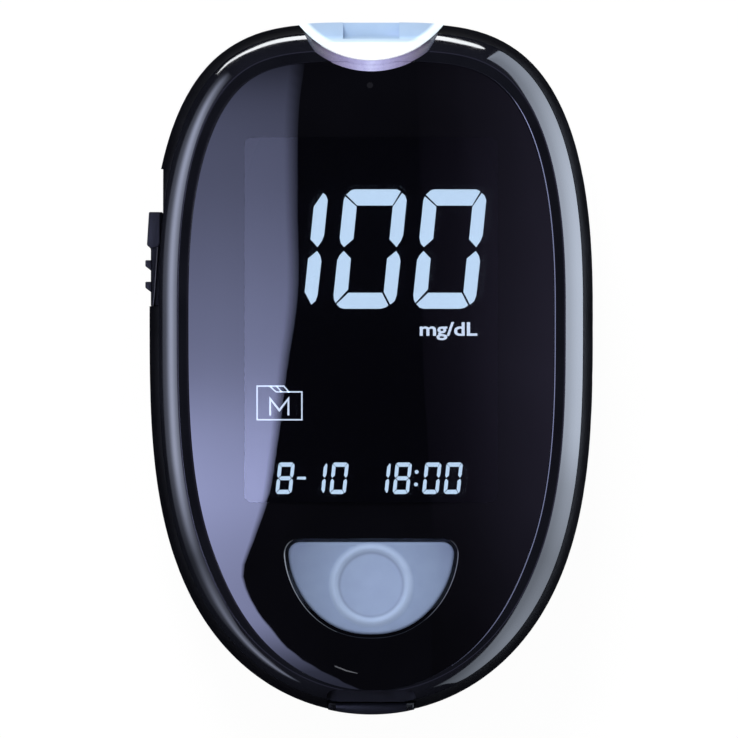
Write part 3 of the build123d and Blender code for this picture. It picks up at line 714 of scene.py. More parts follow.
class NodeSketch:
    """Short way to lay out a material's nodes."""

    def __init__(self, name: str) -> None:
        """Starts an empty material with a Principled shader.

        Args:
            name: the material's name.
        """
        self.material = bpy.data.materials.new(name)
        self.material.use_nodes = True
        self.tree = self.material.node_tree
        self.tree.nodes.clear()
        self.shader = self.add("ShaderNodeBsdfPrincipled")
        self.out = self.add("ShaderNodeOutputMaterial")
        self.link(self.shader.outputs[0], self.out.inputs["Surface"])
        self.place = self.add("ShaderNodeTexCoord").outputs["Object"]

    def add(self, kind: str, **values: object) -> bpy.types.Node:
        """Adds a node and sets its properties and inputs by name."""
        return new_node(self.tree, kind, values)

    def link(self, source: Socket, target: Socket) -> None:
        """Joins two sockets."""
        self.tree.links.new(source, target)

    def feed(self, target: Socket, value: object) -> None:
        """Joins a socket to an input, or sets the input to a number or a colour.

        Args:
            target: the input.
            value: a socket, number or colour.
        """
        if isinstance(value, Socket):
            self.link(value, target)
        else:
            target.default_value = (*value, 1.0) if isinstance(value, tuple) else value

    def axis(self, name: str) -> Socket:
        """One of the object coordinates."""
        split = self.add("ShaderNodeSeparateXYZ")
        self.link(self.place, split.inputs[0])
        return split.outputs[name]

    def distance(self, x: float, y: float) -> Socket:
        """Distance across the face from a point in millimetres."""
        length = self.add("ShaderNodeVectorMath", operation="LENGTH")
        self.link(self.mapped((1, 1, 0), (-x * MM, -y * MM, 0)), length.inputs[0])
        return length.outputs["Value"]

    def mapped(self, scale: Point3 = (1, 1, 1), location: Point3 = (0, 0, 0)) -> Socket:
        """Object coordinates moved and scaled."""
        node = self.add("ShaderNodeMapping", Scale=scale, Location=location)
        self.link(self.place, node.inputs["Vector"])
        return node.outputs["Vector"]

    def noise(self, size: float, detail: float = 3.0, stretch: Point3 = (1, 1, 1)) -> Socket:
        """Noise with features of a size in millimetres."""
        node = self.add("ShaderNodeTexNoise", Scale=1.0 / (size * MM), Detail=detail)
        self.link(self.mapped(stretch), node.inputs["Vector"])
        return node.outputs["Fac"]

    def math(self, operation: str, a: object, b: object = 0.0) -> Socket:
        """One sum of two sockets or numbers.

        Args:
            operation: its kind.
            a: first operand.
            b: second operand.

        Returns:
            The result.
        """
        node = self.add("ShaderNodeMath", operation=operation)
        for socket, value in zip(node.inputs, (a, b)):
            self.feed(socket, value)
        return node.outputs[0]

    def ramp(self, source: Socket, stops: Stops, easing: str = "LINEAR") -> Socket:
        """Colour that follows a number through a list of stops.

        Args:
            source: the number.
            stops: places from 0 to 1 with their colours.
            easing: how the colours pass into each other.

        Returns:
            The colour.
        """
        node = self.add("ShaderNodeValToRGB")
        ramp = node.color_ramp
        ramp.interpolation = easing
        while len(ramp.elements) < len(stops):
            ramp.elements.new(0.5)
        for element, (position, colour) in zip(ramp.elements, stops):
            element.position = position
            element.color = (*colour, 1.0)
        self.link(source, node.inputs["Fac"])
        return node.outputs["Color"]

    def blend(self, factor: object, a: object, b: object, mode: str = "MIX") -> Socket:
        """Mix of two colours by a factor.

        Args:
            factor: share of the second colour.
            a: first colour.
            b: second colour.
            mode: way of mixing.

        Returns:
            The mixed colour.
        """
        node = self.add("ShaderNodeMix", data_type="RGBA", blend_type=mode)
        for number, value in ((0, factor), (6, a), (7, b)):
            self.feed(node.inputs[number], value)
        return node.outputs[2]

    def product(self, a: Socket, b: Socket) -> Socket:
        """Product of two colours."""
        return self.blend(1.0, a, b, "MULTIPLY")

    def ranged(self, source: Socket, low: float, high: float, to_low: float = 0.0,
               to_high: float = 1.0) -> Socket:
        """A number moved from one range to another and kept inside it."""
        node = self.add("ShaderNodeMapRange", From_Min=low, From_Max=high, To_Min=to_low, To_Max=to_high)
        self.link(source, node.inputs["Value"])
        return node.outputs["Result"]

    def paint(self, source: Socket, *stops: tuple[float, Colour]) -> None:
        """Lets the shader's colour follow a number through stops."""
        self.set(Base_Color=self.ramp(source, stops))

    def roughen(self, source: Socket, reach: Point2) -> None:
        """Lets the shader's roughness follow a noise from its low to its high value."""
        self.set(Roughness=self.ranged(source, 0.3, 0.7, *reach))

    def bump(self, height: Socket, depth: float) -> None:
        """Sets the shader's relief, of a depth in millimetres."""
        node = self.add("ShaderNodeBump", Strength=1.0, Distance=depth * MM)
        self.link(height, node.inputs["Height"])
        self.set(Normal=node.outputs["Normal"])

    def set(self, **values: object) -> None:
        """Feeds the shader's own sockets."""
        for key, value in values.items():
            self.feed(self.shader.inputs[key.replace("_", " ")], value)


@dataclass(frozen=True)
class Dressing:
    """What every finish shares: a name and the way its material is made."""

    name: str

    def lay_out(self, sketch: NodeSketch) -> None:
        """Lays out the finish in a fresh material.

        Args:
            sketch: nodes of that material.
        """
        raise NotImplementedError

    def material(self) -> Material:
        """Builds the material."""
        sketch = NodeSketch(self.name)
        self.lay_out(sketch)
        return sketch.material


@dataclass(frozen=True)
class MouldedPlastic(Dressing):
    """Opaque moulded plastic with a fine spark-eroded grain and faint mottling."""

    dark: Colour
    light: Colour
    roughness: Point2 = (0.38, 0.5)
    grain: float = 0.12
    grain_depth: float = 0.004
    ior: float = 1.5

    def lay_out(self, sketch: NodeSketch) -> None:
        """Lays out its nodes."""
        mottling = sketch.noise(6.0, 4.0)
        grain = sketch.noise(self.grain, 2.0)
        tone = sketch.math("ADD", sketch.math("MULTIPLY", mottling, 0.6), sketch.math("MULTIPLY", grain, 0.4))
        sketch.paint(tone, (0.35, self.dark), (0.65, self.light))
        sketch.roughen(tone, self.roughness)
        sketch.bump(grain, self.grain_depth)
        sketch.set(IOR=self.ior)


@dataclass(frozen=True)
class PolishedPlastic(Dressing):
    """Glossy black plastic with a deep polish and the faintest waviness."""

    dark: Colour = (0.0035, 0.0038, 0.006)
    light: Colour = (0.006, 0.0066, 0.01)
    ior: float = 1.8
    roughness: Point2 = (0.03, 0.065)
    wave: float = 0.0006

    def lay_out(self, sketch: NodeSketch) -> None:
        """Lays out its nodes."""
        sketch.paint(sketch.noise(9.0, 3.0), (0.3, self.dark), (0.7, self.light))
        sketch.roughen(sketch.noise(2.5, 5.0), self.roughness)
        sketch.bump(sketch.noise(4.0, 1.0), self.wave)
        sketch.set(IOR=self.ior)


@dataclass(frozen=True)
class SmokedWindow(Dressing):
    """Clear window with a smoky tint and a polished face."""

    tint: Colour = (0.3, 0.3, 0.33)
    ior: float = 1.7

    def lay_out(self, sketch: NodeSketch) -> None:
        """Lays out its nodes."""
        darker = tuple(c * 0.96 for c in self.tint)
        sketch.paint(sketch.noise(14.0, 2.0), (0.35, darker), (0.65, self.tint))
        sketch.roughen(sketch.noise(3.0, 5.0), (0.0, 0.012))
        sketch.set(IOR=self.ior, Transmission_Weight=1.0)


@dataclass(frozen=True)
class PrintedBlack(Dressing):
    """Flat black print or coated glass with a fine dry tooth."""

    dark: Colour
    light: Colour
    roughness: Point2 = (0.55, 0.7)

    def lay_out(self, sketch: NodeSketch) -> None:
        """Lays out its nodes."""
        tooth = sketch.noise(0.3, 3.0)
        sketch.paint(tooth, (0.35, self.dark), (0.65, self.light))
        sketch.roughen(tooth, self.roughness)
        sketch.bump(tooth, 0.001)
        sketch.set(IOR=1.3)


@dataclass(frozen=True)
class LitSegment(Dressing):
    """Light that comes through an open segment of the display."""

    colour: Colour
    strength: float

    def lay_out(self, sketch: NodeSketch) -> None:
        """Lays out its nodes."""
        paler = tuple(min(1.0, c * 1.12) for c in self.colour)
        sketch.paint(sketch.noise(0.22, 2.0), (0.35, self.colour), (0.65, paler))
        sketch.set(Roughness=0.5, Emission_Color=self.colour, Emission_Strength=self.strength)


@dataclass(frozen=True)
class ButtonPlastic(Dressing):
    """Translucent satin plastic of the main button, with a painted highlight on the ring's crest, painted
    shade just inside the ring, painted light that pales the key towards its right side, and darker towards
    its outer edge.
    """

    centre: Point2 = (0.0, -30.05)
    reach: float = 12.0
    # Painted highlight on the ring's crest (4.75 to 5.4 mm out) and painted shade just inside it (4.4 mm);
    # darker towards the outer edge.
    stops: Stops = (
        (0.0, (0.31, 0.4, 0.61)), (4.1, (0.3, 0.39, 0.59)), (4.4, (0.25, 0.32, 0.49)),
        (4.75, (0.39, 0.5, 0.72)), (5.4, (0.39, 0.5, 0.72)), (6.0, (0.25, 0.33, 0.51)),
        (9.0, (0.22, 0.29, 0.45)), (12.0, (0.17, 0.22, 0.36)))
    # Painted light: the key grows paler towards its right side.
    sides: Stops = ((0.0, (0.78, 0.78, 0.76)), (0.5, (0.95, 0.95, 0.95)), (1.0, WHITE))

    def lay_out(self, sketch: NodeSketch) -> None:
        """Lays out its nodes."""
        away = sketch.ranged(sketch.distance(*self.centre), 0.0, self.reach * MM)
        aside = sketch.ranged(sketch.axis("X"), -self.reach * MM, self.reach * MM)
        painted_ring_light = sketch.ramp(away, [(at / self.reach, colour) for at, colour in self.stops])
        tone = sketch.ramp(sketch.noise(2.2, 4.0), [(0.3, (0.93, 0.93, 0.95)), (0.7, WHITE)])
        # Painted highlight and shade of the ring, times the painted light towards the right side.
        painted_ring_and_side_light = sketch.product(painted_ring_light, sketch.ramp(aside, self.sides))
        sketch.set(Base_Color=sketch.product(painted_ring_and_side_light, tone))
        grain = sketch.noise(0.1, 2.0)
        sketch.roughen(grain, (0.36, 0.46))
        sketch.bump(grain, 0.0025)
        sketch.set(IOR=1.46)


@dataclass(frozen=True)
class LightPipe(Dressing):
    """Milky plastic that carries light from the diodes under it."""

    base: Colour
    glow: Colour
    strength: float
    roughness: Point2 = (0.12, 0.2)

    def lay_out(self, sketch: NodeSketch) -> None:
        """Lays out its nodes."""
        cloud = sketch.noise(1.6, 3.0)
        paler = tuple(min(1.0, c * 1.08 + 0.02) for c in self.base)
        sketch.paint(cloud, (0.3, self.base), (0.7, paler))
        sketch.roughen(cloud, self.roughness)
        sketch.bump(sketch.noise(0.25, 2.0), 0.001)
        sketch.set(IOR=1.5, Emission_Color=self.glow, Emission_Strength=self.strength)


@dataclass(frozen=True)
class PortGlow(Dressing):
    """Milky light guide lit from below: white along its rim and over the diodes, pale blue on its lip."""

    white: Colour = (0.98, 1.0, 1.0)
    rim: Colour = (0.82, 0.93, 1.0)
    lip: Colour = (0.43, 0.57, 0.77)
    lip_foot: Colour = (0.62, 0.78, 0.92)
    rim_centre: float = 55.5
    rim_radii: Point2 = (11.35, 11.85)
    rim_reach: Point2 = (43.5, 45.5)
    lip_reach: Point2 = (44.9, 46.2)
    strength: float = 0.5

    def lay_out(self, sketch: NodeSketch) -> None:
        """Lays out its nodes."""
        along = sketch.axis("Y")
        up_lip = sketch.ranged(along, *(y * MM for y in self.lip_reach))
        up_rim = sketch.ranged(along, *(y * MM for y in self.rim_reach))
        edge = sketch.ranged(sketch.distance(0.0, self.rim_centre), *(r * MM for r in self.rim_radii))
        lip = sketch.ramp(up_lip, [(0.0, self.white), (0.35, self.lip_foot), (1.0, self.lip)])
        rim = sketch.ramp(up_rim, [(0.0, self.white), (1.0, self.rim)])
        cloud = sketch.ramp(sketch.noise(1.6, 3.0), [(0.3, (0.96, 0.97, 0.98)), (0.7, WHITE)])
        glow = sketch.product(sketch.blend(edge, lip, rim), cloud)
        sketch.set(Base_Color=glow)
        power = sketch.ramp(up_lip, [(0.0, WHITE), (0.35, (0.35, 0.35, 0.35)), (1.0, (0.04, 0.04, 0.04))])
        power = sketch.blend(edge, power, (0.55, 0.55, 0.55))
        sketch.set(Emission_Color=sketch.product(glow, power))
        sketch.roughen(sketch.noise(0.6, 2.0), (0.14, 0.24))
        sketch.bump(sketch.noise(0.25, 2.0), 0.001)
        sketch.set(IOR=1.5, Emission_Strength=self.strength)


@dataclass(frozen=True)
class PaintedPortGlow(Dressing):
    """Painted glow on the cut faces round the port, standing in for the port's light that they catch,
    brightest in the middle.
    """

    stops: Stops = (
        (0.0, (0.56, 0.58, 0.88)), (0.1, (0.46, 0.46, 0.76)), (0.35, (0.25, 0.22, 0.42)),
        (0.65, (0.09, 0.065, 0.12)), (0.8, (0.02, 0.015, 0.03)), (0.95, (0.003, 0.003, 0.004)))
    reach: float = 10.0
    strength: float = 0.9

    def lay_out(self, sketch: NodeSketch) -> None:
        """Lays out its nodes."""
        aside = sketch.ranged(sketch.math("ABSOLUTE", sketch.axis("X")), 0.0, self.reach * MM)
        streaks = sketch.ramp(sketch.noise(0.7, 3.0, (1, 0.4, 0.4)), [(0.3, (0.82, 0.8, 0.86)), (0.7, WHITE)])
        glow = sketch.product(sketch.ramp(aside, self.stops), streaks)
        sketch.set(Emission_Color=glow)
        sketch.paint(aside, (0.0, (0.05, 0.05, 0.09)), (1.0, (0.01, 0.01, 0.015)))
        sketch.roughen(sketch.noise(0.4, 2.0), (0.2, 0.3))
        sketch.set(IOR=1.16, Emission_Strength=self.strength)


@dataclass(frozen=True)
class PlatedMetal(Dressing):
    """Drawn or plated metal with fine lines and a worn polish."""

    dark: Colour
    light: Colour
    roughness: Point2 = (0.22, 0.38)
    lines: Point3 = (1, 12, 1)

    def lay_out(self, sketch: NodeSketch) -> None:
        """Lays out its nodes."""
        lines = sketch.noise(0.5, 4.0, self.lines)
        sketch.paint(lines, (0.3, self.dark), (0.7, self.light))
        sketch.roughen(lines, self.roughness)
        sketch.bump(lines, 0.002)
        sketch.set(Metallic=1.0)


@dataclass(frozen=True)
class BoardLacquer(Dressing):
    """Green board lacquer over a net of tracks."""

    track_length: float = 2.4
    track_pitch: float = 1.2
    track_width: float = 0.12
    ground: Colour = (0.012, 0.11, 0.045)
    paler_ground: Colour = (0.014, 0.125, 0.05)
    tracks: Colour = (0.03, 0.2, 0.08)

    def lay_out(self, sketch: NodeSketch) -> None:
        """Lays out its nodes."""
        tracks = sketch.add("ShaderNodeTexBrick", Scale=1.0, offset=0.5, Brick_Width=self.track_length * MM,
                            Row_Height=self.track_pitch * MM, Mortar_Size=self.track_width * MM)
        for name, colour in (("Color1", self.ground), ("Color2", self.paler_ground), ("Mortar", self.tracks)):
            sketch.feed(tracks.inputs[name], colour)
        sketch.link(sketch.place, tracks.inputs["Vector"])
        sketch.set(Base_Color=tracks.outputs["Color"])
        sketch.roughen(sketch.noise(1.2), (0.25, 0.4))
        sketch.bump(tracks.outputs["Fac"], 0.02)


@dataclass(frozen=True)
class CellSleeve(Dressing):
    """Shrunk sleeve of a battery cell: a plain body with a darker band towards one end."""

    body: Colour
    band: Colour
    band_from: float
    band_to: float
    span: Point2 = (-30.0, 20.0)

    def lay_out(self, sketch: NodeSketch) -> None:
        """Lays out its nodes."""
        first, last = self.span
        along = sketch.ranged(sketch.axis("Y"), first * MM, last * MM)
        low, high = sorted((y - first) / (last - first) for y in (self.band_from, self.band_to))
        sleeve = sketch.ramp(along, [(0.0, self.body), (low, self.band), (high, self.body)], "CONSTANT")
        sketch.set(Base_Color=sleeve)
        sketch.roughen(sketch.noise(1.5, 4.0), (0.2, 0.34))
        sketch.bump(sketch.noise(2.5, 2.0), 0.01)
        sketch.set(Metallic=0.35, IOR=1.5)


class Finish(Enum):
    """Every finish of the meter."""

    CASE_SATIN = MouldedPlastic("case_satin", (0.002, 0.002, 0.0032), (0.0035, 0.0036, 0.0054), ior=1.4)
    KNOB_SATIN = MouldedPlastic("knob_satin", (0.012, 0.0125, 0.022), (0.018, 0.019, 0.032), ior=1.42)
    # Paler plastic for the strip along the slider's inner edge: a painted highlight.
    KNOB_EDGE_HIGHLIGHT = MouldedPlastic("knob_edge_highlight", (0.05, 0.052, 0.07), (0.075, 0.078, 0.1), (0.3, 0.4))
    FLAP_SATIN = MouldedPlastic("flap_satin", (0.006, 0.007, 0.014), (0.009, 0.0105, 0.02), (0.3, 0.4),
                                ior=1.36)
    BEZEL_GLOSS = PolishedPlastic("bezel_gloss")
    WINDOW = SmokedWindow("smoked_window")
    WINDOW_PRINT = PolishedPlastic("window_print", (0.0014, 0.0014, 0.002), (0.002, 0.002, 0.003), 1.6,
                                   (0.0, 0.012), 0.0)
    SENSOR_SPOT = PolishedPlastic("sensor_spot", (0.006, 0.006, 0.008), (0.01, 0.01, 0.013), 1.6,
                                  (0.0, 0.012), 0.0)
    BLACK_PRINT = PrintedBlack("black_print", (0.003, 0.003, 0.004), (0.005, 0.005, 0.0065))
    DISPLAY_GLASS = PrintedBlack("display_glass", (0.02, 0.02, 0.026), (0.025, 0.025, 0.032), (0.4, 0.5))
    WINDOW_LINE = PrintedBlack("window_line", (0.06, 0.06, 0.075), (0.075, 0.075, 0.09), (0.4, 0.5))
    LIT_DIGITS = LitSegment("lit_digits", (0.6, 0.8, 0.96), 3.2)
    LIT_SIGNS = LitSegment("lit_signs", (0.72, 0.85, 0.99), 3.18)
    BUTTON = ButtonPlastic("button_plastic")
    PIPE_GLOW = PortGlow("port_glow")
    # Painted glow of the port's light on the cut faces round it.
    PAINTED_PORT_GLOW = PaintedPortGlow("painted_port_glow")
    FRAME_WHITE = MouldedPlastic("frame_white", (0.62, 0.62, 0.61), (0.72, 0.72, 0.71), (0.45, 0.55))
    CONNECTOR_CREAM = MouldedPlastic("connector_cream", (0.52, 0.5, 0.42), (0.6, 0.58, 0.5), (0.45, 0.6))
    CHIP_EPOXY = MouldedPlastic("chip_epoxy", (0.012, 0.012, 0.013), (0.022, 0.022, 0.024), (0.5, 0.65))
    PLATED_CERAMIC = MouldedPlastic("plated_ceramic", (0.3, 0.22, 0.14), (0.5, 0.42, 0.3), (0.35, 0.5))
    GREY_RUBBER = MouldedPlastic("grey_rubber", (0.06, 0.06, 0.065), (0.09, 0.09, 0.095), (0.7, 0.85), 0.3,
                                 0.008)
    BOARD = BoardLacquer("board_lacquer")
    NICKEL = PlatedMetal("nickel_plate", (0.5, 0.5, 0.48), (0.68, 0.68, 0.65))
    GOLD_PLATE = PlatedMetal("gold_plate", (0.7, 0.48, 0.2), (0.85, 0.62, 0.3), (0.18, 0.3))
    BLACK_SCREW = PlatedMetal("black_screw", (0.05, 0.05, 0.055), (0.1, 0.1, 0.11), (0.3, 0.45), (6, 6, 1))
    SLEEVE_LEFT = CellSleeve("sleeve_left", (0.42, 0.43, 0.45), (0.03, 0.07, 0.16), 6.0, 19.0)
    SLEEVE_RIGHT = CellSleeve("sleeve_right", (0.42, 0.43, 0.45), (0.03, 0.07, 0.16), -29.0, -16.0)
    DIODE = LightPipe("diode", (0.8, 0.82, 0.7), WHITE, 1.0)


_made: dict[Finish, Material] = {}


def dressed(finish: Finish) -> Material:
    """The material of a finish, built once."""
    if finish not in _made:
        _made[finish] = finish.value.material()
    return _made[finish]


# ------------ the front


@dataclass
class FrontBezel:
    """Glossy upper half of the case: upright skirt, crowned slope, flat rim and window seat."""

    egg: EggOutline
    scoop: PortScoop
    shoulder_inset: float = 1.4
    bezel_inset: float = 4.1
    lens_inset: float = 5.5
    low_z: float = 15.62
    rim_z: float = 23.95
    seat_z: float = 22.3
    floor_z: float = 21.0
    wall: float = 1.8
    end_wall: float = 2.4
    outer_round: float = 0.2
    inner_round: float = 0.12
    outer_slope: float = 44.5
    inner_slope: float = 37.5
    seat_reach: float = 12.0
    steps: int = 420
    end_lift: float = 3.0
    lip_round: float = 0.1
    lip_length: float = 0.157
    notch_half: float = 6.12
    notch_flare: float = 0.04
    notch_corners: Point2 = (0.05, 0.9)
    notch_far_y: float = -52.0
    plate_y: float = -46.35
    shelf_z: float = 19.4
    shelf_depth: float = 1.66
    cutter_z: Point2 = (12.5, 27.0)
    scoop_steps: int = 240

    def section(self) -> list[Point2]:
        """Closed section of the shell, as inset and height.

        Returns:
            The section's points.
        """
        outer, inner = self.outer_slope, self.inner_slope
        round_out = self.outer_round * radians(90 - outer)
        round_in = self.inner_round * radians(inner)
        turns = [(90, outer, round_out, 6), (inner, 0, round_in, 5)]
        used = sum(slope_path((0, 0), [leg])[-1][0] for leg in turns)
        run = self.bezel_inset - self.shoulder_inset - used
        length = run / cos(radians((outer + inner) / 2))
        legs = [turns[0], (outer, inner, length, 14), turns[1]]
        rise = slope_path((0, 0), legs)[-1][1]
        skirt_z = self.rim_z - rise
        path = [(self.shoulder_inset, self.low_z + i * (skirt_z - self.low_z) / 4) for i in range(4)]
        path += slope_path((self.shoulder_inset, skirt_z), legs)
        lip = self.lens_inset - self.lip_round
        path += [(self.bezel_inset + i * (lip - self.bezel_inset) / 4, self.rim_z) for i in (1, 2, 3)]
        path += slope_path((lip, self.rim_z), [(0, -90, self.lip_length, 3)])
        inside = self.shoulder_inset + self.wall
        path += [(self.lens_inset, self.seat_z), (self.seat_reach, self.seat_z),
                 (self.seat_reach, self.floor_z), (inside, self.floor_z), (inside, self.low_z)]
        return path

    def flap_notch(self) -> Piece:
        """Cutter for the notch over the data flap, with its upper edges flared.

        Returns:
            The cutter.
        """
        draft = MeshDraft()
        rows = []
        foot_z, head_z = self.cutter_z
        for z, deeper in ((foot_z, False), (self.shelf_z, False), (self.shelf_z, True), (head_z, True)):
            near = self.plate_y + self.shelf_depth * deeper
            half = self.notch_half + self.notch_flare * deeper
            corner = self.notch_corners[deeper]
            row = [(-half, self.notch_far_y), (half, self.notch_far_y)]
            for side, first in ((1, 0.0), (-1, 90.0)):
                row += round_corner(side * (half - corner), near - corner, corner, first)
            rows.append(draft.level(row, z))
        for low, high, finish in zip(rows, rows[1:], (0, 1, 0)):
            draft.bridge(low, high, True, finish)
        draft.face(rows[0])
        draft.face(rows[-1])
        return draft.build("notch_cutter", [dressed(Finish.BEZEL_GLOSS), dressed(Finish.CASE_SATIN)])

    def scoop_cutter(self) -> Piece:
        """Cutter for the round bite at the port, whose cut faces get a painted glow of the port's light.

        Returns:
            The cutter.
        """
        draft = MeshDraft()
        rows = []
        turns = [2 * pi * i / self.scoop_steps for i in range(self.scoop_steps)]
        for z in (self.cutter_z[0], self.scoop.foot_z, self.cutter_z[1]):
            rows.append(draft.level(arc_points(0.0, self.scoop.centre_y(z), self.scoop.radius, turns), z))
        for low, high in zip(rows, rows[1:]):
            draft.bridge(low, high)
        draft.face(rows[0])
        draft.face(rows[-1])
        return draft.build("scoop_cutter", [dressed(Finish.PAINTED_PORT_GLOW)])

    def build(self) -> None:
        """Builds the bezel as one closed shell, bitten at the port and notched for the data flap."""
        draft = MeshDraft()
        rows = []
        inside = self.shoulder_inset + self.wall
        turns = [2 * pi * i / self.steps for i in range(self.steps)]
        for inset, z in self.section():
            on_slope = z > self.low_z and inset <= self.bezel_inset and inset != inside
            thicker = self.end_wall if inset == inside and z <= self.floor_z else 0.0
            lifted = (self.rim_z - z) / self.end_lift if on_slope else 0.0
            shares = [self.egg.closeness(turn) for turn in turns]
            rows.append(draft.add([(*self.egg.point(turn, inset + thicker * share), z + lifted * share)
                                   for turn, share in zip(turns, shares)]))
        for low, high in zip(rows, [*rows[1:], rows[0]]):
            draft.bridge(low, high)
        shell = draft.build("front_bezel", [dressed(Finish.BEZEL_GLOSS)])
        for cutter in (self.scoop_cutter(), self.flap_notch()):
            cut = shell.modifiers.new("cut", "BOOLEAN")
            cut.operation, cut.solver, cut.object = "DIFFERENCE", "EXACT", cutter
            cut.material_mode = "TRANSFER"
            baked(shell)
            bpy.data.objects.remove(cutter)
        creased(shell.data, 32.0)
        place(shell, CASE, "bezel_gloss", "front_cover")


@dataclass
class DisplayWindow:
    """Domed window: black print round a smoked pane, with its button hole and its bite for the port."""

    egg: EggOutline
    dome: DomeTop
    scoop: PortScoop
    moon: HalfMoon
    inset: float = 5.53
    low_z: float = 22.45
    edge_round: float = 0.008
    hole_chamfer: float = 0.15
    hole_slopes: Point2 = (43.5, 39.5)
    hole_margin: float = 0.45
    spacing: float = 1.5
    round_steps: int = 4
    around: int = 300
    arc_steps: int = 60
    pane_half: float = 17.55
    pane_ends: Point2 = (-18.62, 31.98)
    pane_corner: float = 1.0
    sensor: Point3 = (-0.17, 39.2, 0.42)
    film_depths: Point2 = (0.14, 0.01)
    film_margin: float = 0.55
    film_pane_share: float = 0.998

    def outer_loop(self, z: float) -> tuple[list[Point2], int]:
        """Outline of the window at a height, anticlockwise, with the port's arc cut out of it.

        Args:
            z: the height.

        Returns:
            The outline, and the number of its points before the arc.
        """
        corner = self.scoop.corner(self.egg, self.inset, z)
        start, end = pi - corner, 2 * pi + corner
        rim = [self.egg.point(start + (end - start) * i / self.around, self.inset)
               for i in range(self.around + 1)]
        centre = self.scoop.centre_y(z)
        turn = atan2(rim[-1][1] - centre, rim[-1][0])
        sweep = -pi - 2 * turn
        turns = [turn + sweep * i / self.arc_steps for i in range(1, self.arc_steps)]
        return rim + arc_points(0.0, centre, self.scoop.radius, turns), len(rim)

    def pane(self) -> list[Point2]:
        """Outline of the clear pane over the display."""
        return round_rectangle(self.pane_half, *self.pane_ends, self.pane_corner)

    def sensor_spot(self) -> list[Point2]:
        """Outline of the light sensor's small clear spot."""
        return arc_points(*self.sensor, [pi * i / 10 for i in range(20)])

    def rounded_rim(self, draft: MeshDraft, loop: Outline) -> tuple[list[int], list[int]]:
        """Adds the round top edge of an outline.

        Args:
            draft: the mesh it goes into.
            loop: the outline.

        Returns:
            Numbers of its highest and lowest rows.
        """
        outwards = loop_normals(loop)
        rows = draft.round_edge(loop, self.edge_round, self.round_steps, self.dome.height)
        for k, row in enumerate(rows):
            turn = pi / 2 * k / self.round_steps
            for i, (nx, ny) in zip(row, outwards):
                up = self.dome.normal(*draft.points[i][:2]) * cos(turn)
                draft.normals[i] = (up + Vector((nx, ny, 0)) * sin(turn)).normalized()
        for high, low in zip(rows, rows[1:]):
            draft.bridge(high, low)
        return rows[0], rows[-1]

    def chamfered_hole(self, draft: MeshDraft) -> tuple[list[int], list[int]]:
        """Adds the polished chamfer round the button hole.

        Args:
            draft: the mesh it goes into.

        Returns:
            Numbers of its highest and lowest rows.
        """
        loop = list(reversed(self.moon.loop(self.hole_margin)))
        inwards = loop_normals(loop)
        rows, drop = [], 0.0
        low_slope, high_slope = self.hole_slopes
        for k in range(self.round_steps + 1):
            share = k / self.round_steps
            slope = radians(high_slope + (low_slope - high_slope) * share)
            ring = drawn_in(loop, inwards, self.hole_chamfer * (1 - share))
            row = draft.add([(x, y, self.dome.height(x, y) - drop) for x, y in ring])
            drop += self.hole_chamfer / self.round_steps * tan(slope)
            if k:
                for i, (nx, ny) in zip(row, inwards):
                    draft.normals[i] = Vector((nx * sin(slope), ny * sin(slope), cos(slope)))
            rows.append(row)
        slope = radians(high_slope)
        first = len(draft.faces)
        for high, low in zip(rows, rows[1:]):
            draft.bridge(high, low)
        for number, (vertex, (nx, ny)) in enumerate(zip(rows[0], inwards)):
            draft.normals[vertex] = self.dome.normal(*draft.points[vertex][:2])
            leaning = Vector((nx * sin(slope), ny * sin(slope), cos(slope)))
            for face in (first + number, first + (number - 1) % len(loop)):
                draft.crease_normals[face, vertex] = leaning
        return rows[0], rows[-1]

    def build(self) -> None:
        """Builds the window as one solid."""
        draft = MeshDraft()
        top_z = self.dome.height(0, self.scoop.foot_y - self.scoop.radius)
        loop, arc_from = self.outer_loop(top_z)
        outer_top, outer_low = self.rounded_rim(draft, loop)
        hole_top, hole_low = self.chamfered_hole(draft)
        foot, _ = self.outer_loop(self.low_z)
        outer_foot = draft.level(foot, self.low_z)
        hole_foot = draft.level([draft.points[i][:2] for i in hole_low], self.low_z)
        for i in range(len(loop)):
            j = (i + 1) % len(loop)
            # Faces along the port's arc get the painted glow of the port's light.
            lit_by_port = 3 if i >= arc_from - 1 else 0
            draft.face((outer_low[i], outer_low[j], outer_foot[j], outer_foot[i]), lit_by_port)
        draft.bridge(hole_low, hole_foot)
        panes = [(self.pane(), 1), (self.sensor_spot(), 2)]
        draft.plate([outer_top, hole_top], self.spacing, self.dome.height, 0, panes, self.dome.normal)
        draft.plate([outer_foot, hole_foot], None, lambda x, y: self.low_z, 0, panes[:1])
        finishes = [Finish.WINDOW_PRINT, Finish.WINDOW, Finish.SENSOR_SPOT, Finish.PAINTED_PORT_GLOW]
        window = draft.build("display_window", [dressed(f) for f in finishes], 40)
        place(window, CASE, "window", "display_lens")

    def build_mask(self) -> None:
        """Builds the printed film under the window, open over the display."""
        draft = MeshDraft()
        hole = list(reversed(self.moon.loop(self.film_margin)))
        pane = [(x * self.film_pane_share, y) for x, y in reversed(self.pane())]
        rows = []
        for z in (self.low_z - depth for depth in self.film_depths):
            outer, arc_from = self.outer_loop(z)
            rows.append([draft.level(loop, z) for loop in (outer, hole, pane)])
        for low, high in zip(*rows):
            draft.bridge(low, high)
        # Edge faces along the port's arc get the painted glow of the port's light.
        for i in range(arc_from - 1, len(outer)):
            draft.finish_of[i] = 1
        for loops in rows:
            draft.plate(loops, None, lambda x, y: self.low_z)
        film = draft.build("window_film", [dressed(Finish.BLACK_PRINT), dressed(Finish.PAINTED_PORT_GLOW)])
        place(film, CASE, "black_print", "lens_mask")


